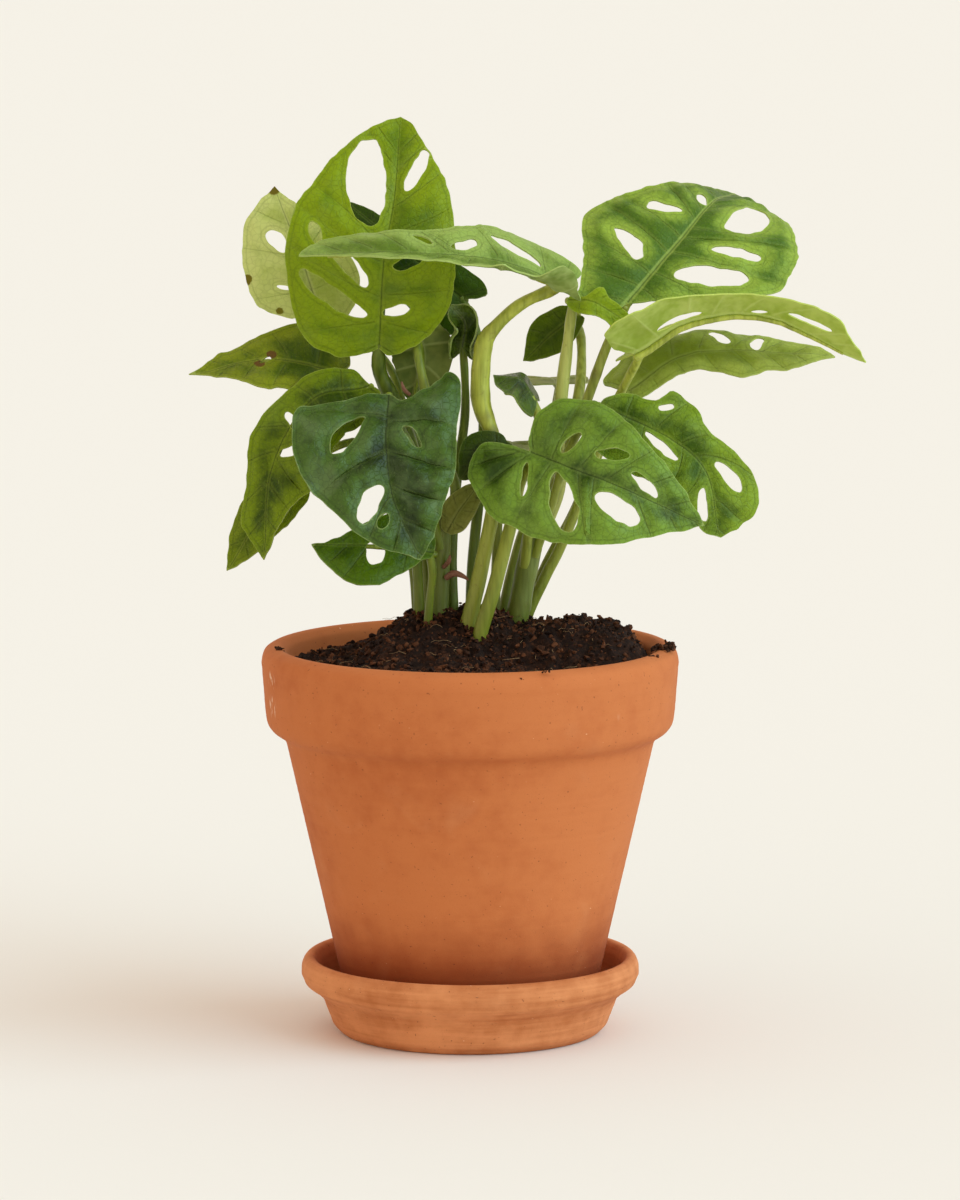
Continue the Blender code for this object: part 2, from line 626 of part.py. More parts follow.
def stalk_line(leaf, carriers):
    """The stalk's centre line, from the soil or its carrier to its seat under the blade."""
    points = [tuple(point) for point in leaf.stalk]
    if leaf.carrier:
        carrier, height, bearing, radius = leaf.carrier
        x, y, z, thick = centre_at(carriers[carrier], height)
        away = thick + radius + GAP
        bearing = math.radians(bearing)
        start = (x + away * math.cos(bearing), y + away * math.sin(bearing), z, radius)
        points.insert(0, start)
    else:
        x, y, _, radius = points[0]
        points.insert(0, (x, y, ROOTED_DEPTH, radius * STALK_ROOT_TAPER))
    bend = Bend(leaf)
    seat_s = np.array([SEAT_PLACE])
    seat = bend.point(seat_s, np.zeros(1))[0]
    under = -bend.normal(seat_s, np.zeros(1))[0]
    arrival = unit(seat - np.array(points[-1][:3]))
    spread = leaf.stalk_tip * math.sqrt(max(0.0, 1 - (arrival @ under) ** 2))
    end = seat + under * (BLADE_THICKNESS / 2 + GAP + spread)
    points.append((*end, leaf.stalk_tip))
    return spaced(smooth(points, 8), STALK_STEP, 4)


def make_turned(name, rows, finish):
    """A solid of revolution from (radius, height) rows, which close on themselves or begin and end on the axis."""
    mesh = bpy.data.meshes.new(name)
    shape = bmesh.new()
    ring = [shape.verts.new((radius * MM, 0, height * MM)) for radius, height in rows]
    first = 0 if rows[0][0] > 0 else 1
    edges = [shape.edges.new((ring[i - 1], ring[i])) for i in range(first, len(ring))]
    bmesh.ops.spin(
        shape,
        geom=ring + edges,
        cent=(0, 0, 0),
        axis=(0, 0, 1),
        angle=math.tau,
        steps=TURNED_STEPS,
        use_merge=True,
    )
    bmesh.ops.remove_doubles(shape, verts=shape.verts, dist=1e-6)
    bmesh.ops.recalc_face_normals(shape, faces=shape.faces)
    shape.to_mesh(mesh)
    shape.free()
    mesh.shade_smooth()
    mesh.set_sharp_from_angle(angle=SHARP_ANGLE)
    mesh.materials.append(finish)
    made = bpy.data.objects.new(name, mesh)
    bpy.context.scene.collection.objects.link(made)
    return made


def pot_inner_radius(height):
    """Radius of the pot's inner wall."""
    foot = POT_FOOT_RADIUS - POT_WALL
    top = POT_RIM_RADIUS - POT_MOUTH_INSET
    return foot + (top - foot) * (height - POT_FLOOR) / (POT_HEIGHT - POT_FLOOR)


def make_pot(finish):
    inset, rounding = POT_CORNER
    mouth = POT_HEIGHT - MOUTH_DROP
    rows = (
        (DRAIN_RADIUS, POT_FOOT),
        (POT_FOOT_RADIUS - FOOT_CHAMFER, POT_FOOT),
        (POT_FOOT_RADIUS, POT_FOOT + FOOT_CHAMFER),
        (POT_SHOULDER_RADIUS, POT_SHOULDER - 0.5),
        (POT_SHOULDER_RADIUS + 1.5, POT_SHOULDER + 1.5),
        *((POT_RIM_RADIUS - inward, POT_SHOULDER + up) for inward, up in POT_BAND),
        *((POT_RIM_RADIUS - inward, POT_HEIGHT - down) for inward, down in POT_LIP),
        (pot_inner_radius(mouth), mouth),
        (pot_inner_radius(POT_FLOOR + rounding), POT_FLOOR + rounding),
        (pot_inner_radius(POT_FLOOR) - inset, POT_FLOOR),
        (DRAIN_RADIUS, POT_FLOOR),
    )
    return make_turned("pot", rows, finish)


def make_saucer(finish):
    wall = [(SAUCER_LIP_RADIUS - inward, height) for inward, height in (*SAUCER_OUTSIDE, *SAUCER_INSIDE)]
    rows = ((0, 0), (SAUCER_BASE_RADIUS, 0), *wall, (0, SAUCER_FLOOR))
    return make_turned("saucer", rows, finish)


def soil_height(x, y):
    """Height of the mounded soil's surface, lumpy and highest round the stems."""
    height, (cx, cy), (rx, ry) = SOIL_CROWN
    crown = height * math.exp(-(((x - cx) / rx) ** 4) - ((y - cy) / ry) ** 2)
    height, (cx, cy), (rx, ry) = SOIL_SHELF
    shelf = height * math.exp(-(((x - cx) / rx) ** 6) - ((y - cy) / ry) ** 4)
    height, cy, ry = SOIL_FRONT
    front = height * math.exp(-(((y - cy) / ry) ** 2))
    lumps = sum(rise * noise.noise(Vector((x / size, y / size, seed))) for rise, size, seed in SOIL_LUMPS)
    return SOIL_EDGE + max(crown, shelf) + front + lumps


def make_soil(finish, stems):
    """Soil that fills the pot, with a plug in the drain hole and a plain hole for each stem."""
    points = []
    inset, rounding = POT_CORNER
    levels = (
        (DRAIN_RADIUS - GAP, POT_FOOT + 1),
        (DRAIN_RADIUS - GAP, POT_FLOOR + GAP),
        (pot_inner_radius(POT_FLOOR) - inset - GAP, POT_FLOOR + GAP),
        (pot_inner_radius(POT_FLOOR + rounding) - GAP, POT_FLOOR + rounding + GAP),
    )
    edge = pot_inner_radius(SOIL_EDGE) - GAP
    turns = [math.tau * step / SOIL_STEPS for step in range(SOIL_STEPS)]
    for radius, height in levels:
        points += [(radius * math.cos(a), radius * math.sin(a), height) for a in turns]
    for ring in range(SOIL_RINGS, 0, -1):
        for a in turns:
            radius = edge * ring / SOIL_RINGS
            x, y = radius * math.cos(a), radius * math.sin(a)
            height = soil_height(x, y)
            if ring == SOIL_RINGS:
                radius = pot_inner_radius(height) - SOIL_WALL_PLAY
                x, y = radius * math.cos(a), radius * math.sin(a)
            points.append((x, y, height))
    points.append((0, 0, soil_height(0, 0)))
    faces = []
    rings = len(levels) + SOIL_RINGS
    for ring in range(rings - 1):
        for step in range(SOIL_STEPS):
            after = (step + 1) % SOIL_STEPS
            low = ring * SOIL_STEPS
            a, b = low + step, low + after
            c, d = b + SOIL_STEPS, a + SOIL_STEPS
            faces += [(a, b, c), (a, c, d)]
    last = (rings - 1) * SOIL_STEPS
    faces += [(last + step, last + (step + 1) % SOIL_STEPS, len(points) - 1) for step in range(SOIL_STEPS)]
    faces.append(tuple(range(SOIL_STEPS))[::-1])
    soil = add_object("soil", points, faces, finish)
    for name, line in stems.items():
        wide = line.copy()
        wide[:, 3] += SOCKET_PLAY
        wide[0, 2] -= SOCKET_PLAY
        cutter = add_object(f"{name}_socket", *tube(wide, sides_of(name)), finish)
        cutter.hide_render = True
        cutter.display_type = "WIRE"
        cut = soil.modifiers.new(name, "BOOLEAN")
        cut.operation = "DIFFERENCE"
        cut.object = cutter
    return soil


def main():
    for old in list(bpy.data.objects):
        bpy.data.objects.remove(old, do_unlink=True)
    terracotta = material("terracotta", (0.48, 0.15, 0.05), 0.85)
    earth = material("soil", (0.05, 0.022, 0.01), 0.95)
    stalk_green = material("stalk", (0.20, 0.30, 0.07), 0.5)
    make_saucer(terracotta)
    make_pot(terracotta)

    lines = {}
    for name, points in CANES.items():
        x, y, _, radius = points[0]
        rooted = [(x, y, ROOTED_DEPTH, radius * CANE_ROOT_TAPER), *points]
        lines[name] = spaced(smooth(rooted, 8), STALK_STEP, 4)
    for leaf in sorted(LEAVES, key=lambda one: bool(one.carrier)):
        lines[f"stalk_{leaf.name}"] = stalk_line(leaf, lines)
    for name, line in lines.items():
        add_object(name, *tube(line, sides_of(name)), stalk_green, rounded=True)
    for leaf in (*LEAVES, SHEATH):
        make_blade(leaf)
    make_soil(earth, {name: line for name, line in lines.items() if line[0, 2] < SOIL_EDGE})


main()
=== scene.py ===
"""Looks of a monstera adansonii in its terracotta pot: veined leaves, stalks, crumbly soil, turned clay."""
import json
import math
import random
from dataclasses import dataclass

import bmesh
import bpy
import numpy as np
from mathutils import Matrix, Vector, noise
from mathutils.geometry import delaunay_2d_cdt
from mathutils.kdtree import KDTree

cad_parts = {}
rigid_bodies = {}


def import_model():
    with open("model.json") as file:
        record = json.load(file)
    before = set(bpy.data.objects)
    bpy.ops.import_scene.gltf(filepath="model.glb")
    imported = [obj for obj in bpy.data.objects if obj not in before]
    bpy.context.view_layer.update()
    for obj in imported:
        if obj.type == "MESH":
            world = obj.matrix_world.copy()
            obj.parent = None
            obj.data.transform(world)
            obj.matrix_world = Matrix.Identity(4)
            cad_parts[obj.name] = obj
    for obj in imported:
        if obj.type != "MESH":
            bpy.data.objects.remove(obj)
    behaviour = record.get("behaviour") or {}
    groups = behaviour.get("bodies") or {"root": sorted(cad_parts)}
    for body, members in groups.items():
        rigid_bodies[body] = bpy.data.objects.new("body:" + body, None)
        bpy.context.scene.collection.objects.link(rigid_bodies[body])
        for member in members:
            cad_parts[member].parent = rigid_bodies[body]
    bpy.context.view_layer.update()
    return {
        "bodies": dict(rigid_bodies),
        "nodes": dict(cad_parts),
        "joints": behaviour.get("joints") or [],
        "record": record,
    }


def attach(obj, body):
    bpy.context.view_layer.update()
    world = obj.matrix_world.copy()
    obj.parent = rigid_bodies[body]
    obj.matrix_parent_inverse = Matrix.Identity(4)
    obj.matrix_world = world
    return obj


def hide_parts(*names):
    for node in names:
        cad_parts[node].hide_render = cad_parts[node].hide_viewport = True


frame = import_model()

MM = 0.001
GAP = 0.3

# Camera and room, in metres
CAMERA_PLACE = (0.0037, -2.196, 0.4627)
CAMERA_PITCH = math.radians(7.75)
CAMERA_LENS = 177
CAMERA_SENSOR = 36
CAMERA_REACH = 100
FLOOR_REACH = 30.0
FLOOR_COLOUR = (240, 236, 227)
SKY_COLOUR = (1.0, 0.89, 0.79)
SKY_STRENGTH = 0.88
# The soft light: where it comes from, how wide it looks, its strength and its colour
LIGHT_FROM = (0.84, -0.36, 0.42)
LIGHT_WIDTH = 1.2
LIGHT_STRENGTH = 2.55
LIGHT_COLOUR = (0.52, 0.80, 1.0)

# Pot and saucer, in millimetres
SAUCER_BASE_RADIUS = 49.0
SAUCER_LIP_RADIUS = 64.0
SAUCER_HEIGHT = 29.0
SAUCER_FLOOR = 5.0
POT_FOOT = SAUCER_FLOOR + GAP
POT_FOOT_RADIUS = 45.6
POT_SHOULDER_RADIUS = 69.3
POT_SHOULDER = 111.5
POT_RIM_RADIUS = 78.5
POT_HEIGHT = 147.0
POT_WALL = 6.5
POT_MOUTH_INSET = 9.0
POT_FLOOR = POT_FOOT + 8.0
POT_CORNER = (3.0, 4.0)
FOOT_CHAMFER = 1.5
DRAIN_RADIUS = 7.0
TURNED_STEPS = 176
# Points of a spun shape that are nearer than this are one
MERGE = 1e-3
# The rim band from its shoulder up: how far inside the rim's radius, and how high above the shoulder
POT_BAND = ((3.9, 3.8), (2.1, 6.5), (1.5, 10.5))
# The lip from its outside to its inside: how far inside the rim's radius, and how far below the top
POT_LIP = ((0.0, 5.5), (1.0, 1.8), (4.0, 0.0), (6.8, 0.0))
MOUTH_DROP = 2.5
# The saucer's wall outside and inside: how far inside the lip's radius, and the height
SAUCER_OUTSIDE = (
    (12.0, 3.0), (8.0, 13.6), (5.0, 16.2), (1.5, 18.5), (0.0, 22.5), (0.5, 26.5), (2.5, SAUCER_HEIGHT)
)
SAUCER_INSIDE = ((5.0, 28.5), (6.5, 25.5), (8.5, 17.0), (12.5, SAUCER_FLOOR + 2.5), (15.5, SAUCER_FLOOR))
# Fine grooves round the saucer's lip: from and to height, depth and spacing
LIP_GROOVES = (18.0, 27.5, 0.09, 3.0)

# Soil, in millimetres: crown and shelf as height, centre and reach, and lumps as height, size and seed
SOIL_EDGE = 140.0
SOIL_CROWN = (20.0, (-6, 2), (30, 36))
SOIL_SHELF = (15.5, (36, -2), (28, 30))
SOIL_FRONT = (4.0, -66, 16)
SOIL_LUMPS = ((2.2, 9.0, 3.7), (1.3, 4.5, 8.1))
SOIL_CELL = 1.3
CRUMBS = 4600
FIBRES = 110
FOOT_CRUMBS = 26
SOIL_STEPS = 260
SOIL_WALL_PLAY = 0.15
# Crumbs and root hairs are made in batches, and each crumb is squashed by shares from these ranges
CRUMB_BATCHES = 10
CRUMB_SQUASH = ((0.7, 1.6), (0.5, 1.0), (0.5, 0.9))
# The seed of the crumbs' places and of their dents, so that each run gives the same soil.
SOIL_SEED = 7
# Fine lumps as height, size and seed, and the shade that marks a root hair
SOIL_CRUMBLE = ((1.2, 2.2, 1.3), (0.7, 1.1, 5.1))
HAIR_SHADE = 2.0
HAIR_RADIUS = 0.10
# Clumps of spilt soil on the rim, as centre, spread, count and crumb size
SPILT = (
    ((73, -12, 147.5), (5, 5, 2.0), 60, 1.1),
    ((66, -30, 146.5), (3, 3, 0.6), 14, 0.7),
    ((-71, -14, 147.2), (2, 3, 0.8), 14, 0.7),
    ((18.5, -74.6, 144.0), (2.6, 0.3, 1.6), 16, 0.5),
    ((27, -71.5, 147.2), (3, 1, 0.3), 8, 0.5),
    ((4, -72, 147.3), (9, 1, 0.3), 10, 0.45),
)

# Leaves and stems, in millimetres
BLADE_THICKNESS = 0.6
SEAT_THICKNESS = 0.8
BLADE_CELL = 1.25
MARGIN_STEP = 1.3
HOLE_STEP = 0.9
VEIN_STEP = 1.3
VEIN_SPACING = 10.5
MIDRIB_EDGES = (0.0, 0.7, 1.6)
STALK_SIDES = 16
STALK_STEP = 3.0
RIB_SIDES = 10
BUD_SIDES = 8
BUD_STEP = 0.8
CURVE_PIECES = 8
FEWEST_RINGS = 8
ROOTED_DEPTH = 122.0
STALK_ROOT_TAPER = 0.8
CANE_ROOT_TAPER = 0.9
# Where a stalk meets the midrib, and how far out in its cane it starts, as a share of the cane's radius
SEAT_PLACE = 2.0
CARRIER_REACH = 0.7
# How near a vein's points may come to a cut edge and to other lines, and the grid's points to all of them
EDGE_CLEARANCE = 0.55
LINE_CLEARANCE = 0.5
GRID_CLEARANCE = 0.6
GRID_ROW = 0.87
# Edges stay smooth up to these angles, in degrees
LEAF_SHARP = 55
STEM_SHARP = 60
SOIL_SHARP = 50

# Colours in 0 to 255
PALE_VEIN = (214, 222, 150)
DEAD_BROWN = (112, 78, 34)
# Painted sheen: a pale grey laid on in patches where glossy highlights would be
SHEEN_GREY = (112, 134, 82)
LEAF_SHADOW = (6, 14, 0)
LEAF_GLOW = (170, 210, 10)
UNDER_LIGHT = (178, 186, 124)
UNDER_DEEP = (140, 156, 84)
UNDER_GLOW = (190, 220, 40)
STEM_LIGHT = (200, 206, 104)
STEM_DEEP = (60, 72, 6)
STEM_FOOT_SHADE = (40, 52, 2)
# Painted shade at the foot of a stem, near the soil
STEM_CORK = (122, 104, 54)
RING_BROWN = (104, 90, 34)
BUD_COLOUR = (104, 62, 40)
BUD_PALE = (170, 120, 92)
PEAT_DARK = (30, 16, 9)
PEAT_BROWN = (108, 64, 38)
HAIR_COLOUR = (170, 136, 96)
CLAY_BLOOM = (226, 160, 108)
CLAY_GRAIN = (120, 56, 24)
CLAY_SPECK = (104, 50, 26)
CLAY_CHIP = (240, 196, 150)
CLAY_DAMP = (196, 160, 140)
CLAY_SCUFF = (240, 212, 182)
POT_CLAY = ((197, 114, 62), (182, 98, 50))
SAUCER_CLAY = ((219, 143, 90), (180, 104, 56))


@dataclass
class Leaf:
    """A leaf in millimetres: s runs from base to tip, and t across, to the right of the midrib."""

    name: str
    spine: tuple
    face: tuple
    left: tuple
    right: tuple
    holes: tuple = ()
    fold: tuple = (0, 0)
    curl: tuple = (0, 0)
    face_tip: tuple = None
    stalk: tuple = ()
    carrier: tuple = None
    stalk_tip: float = 1.5


@dataclass
class Look:
    """A leaf's finish: colours in 0 to 255, swell and ripple in millimetres, and the rest as shares.

    Spots are brown scars as s, t and radius, and depth moves the whole leaf towards its deep colour.
    """

    light: tuple
    deep: tuple
    stalk: tuple = (120, 130, 44)
    roughness: float = 0.42
    swell: float = 1.0
    ripple: float = 1.2
    through: float = 0.2
    spots: tuple = ()
    veins: float = 0.3
    shine: float = 0.17
    rib: float = 0.35
    depth: float = 0.0
    # Share of painted shade in the folds and of painted sheen patches
    crumple_shade_and_sheen: float = 0.07


LOOKS = {
    "upright": Look((140, 162, 12), (96, 122, 0), (72, 92, 4), 0.40, 1.1, 1.2, 0.25, rib=0.2, crumple_shade_and_sheen=0.12),
    "pale_left": Look((230, 234, 150), (180, 192, 96), (124, 142, 30), 0.50, 1.0, 1.8, 0.35,
                      ((55, 0, 3.0), (24, -22.5, 2.4), (8, -14, 1.5)), rib=0.5),
    "shaded_middle": Look((66, 96, 4), (36, 60, 0), (96, 118, 16)),
    "level_front": Look((164, 188, 88), (100, 126, 34), (178, 184, 60), 0.44, 1.0, 1.2, 0.25, rib=0.15),
    "broad_right": Look((162, 188, 66), (78, 110, 22), (156, 162, 62), 0.42, 1.5, 1.7, 0.2,
                        rib=0.5, depth=0.26),
    "level_right": Look((222, 232, 106), (172, 190, 54), (172, 180, 62), 0.46, 0.8, 1.4, 0.4, rib=0.5),
    "low_right": Look((192, 204, 96), (138, 150, 50), (168, 176, 56), 0.44, 1.1, 2.8, 0.35, crumple_shade_and_sheen=0.2),
    "front_right": Look((120, 152, 48), (44, 68, 4), (156, 164, 40), 0.38, 1.6, 1.3, 0.1,
                        rib=0.12, depth=0.06, crumple_shade_and_sheen=0.16),
    "behind_right": Look((136, 164, 40), (62, 90, 6), (150, 160, 50), 0.40, 1.4, 1.5, 0.18,
                         rib=0.2, depth=0.1, crumple_shade_and_sheen=0.15),
    "front_left": Look((70, 98, 28), (30, 48, 4), (104, 122, 22), 0.36, 3.0, 3.0, 0.05,
                       shine=0.24, rib=0.1, crumple_shade_and_sheen=0.4),
    "arching_left": Look((122, 144, 8), (56, 76, 2), (124, 140, 26), 0.40, 1.3, 1.5, 0.18,
                         rib=0.2, crumple_shade_and_sheen=0.15),
    "hanging_left": Look((128, 146, 16), (72, 92, 2), (124, 140, 26), 0.42, 0.9, 1.2),
    "pointed_left": Look((138, 150, 24), (66, 88, 2), (124, 140, 26), 0.42, 1.2, 1.8, 0.2,
                         ((33, -3, 2.2), (28, 2, 1.8))),
    "low_front": Look((84, 114, 8), (36, 64, 0), (124, 140, 26), 0.38, 1.2, 0.9, 0.14, crumple_shade_and_sheen=0.1),
    "curled_young": Look((90, 114, 26), (36, 56, 2), (92, 112, 14), 0.28, 1.0, 1.0, 0.08, shine=0.4),
    "hanging_middle": Look((88, 106, 10), (52, 70, 2), (112, 130, 22), 0.42, 0.8, 0.8),
    "folded_young": Look((80, 106, 16), (34, 52, 2), (164, 172, 58), 0.30, 0.9, 1.0, 0.08, shine=0.4),
    "olive_back": Look((100, 122, 8), (58, 80, 0), (168, 174, 64), 0.42, 0.6, 0.8),
    "small_middle": Look((62, 82, 8), (32, 48, 2), (140, 150, 32), 0.36, 0.6, 0.6),
    "bright_centre": Look((172, 194, 40), (124, 152, 10), (186, 190, 96), 0.42, 0.7, 0.8, 0.4),
    "high_back": Look((176, 180, 104), (128, 138, 54), (150, 160, 52), 0.48, 0.8, 1.0, 0.3),
    "low_back": Look((176, 180, 116), (134, 140, 66), (150, 160, 52), 0.48, 0.8, 1.0, 0.3),
    "sheath": Look((158, 160, 76), (112, 116, 36), (132, 142, 48), 0.5, 0.2, 0.3),
}
CANE_COLOURS = {"cane_left": (96, 110, 18), "cane_right": (120, 134, 42)}


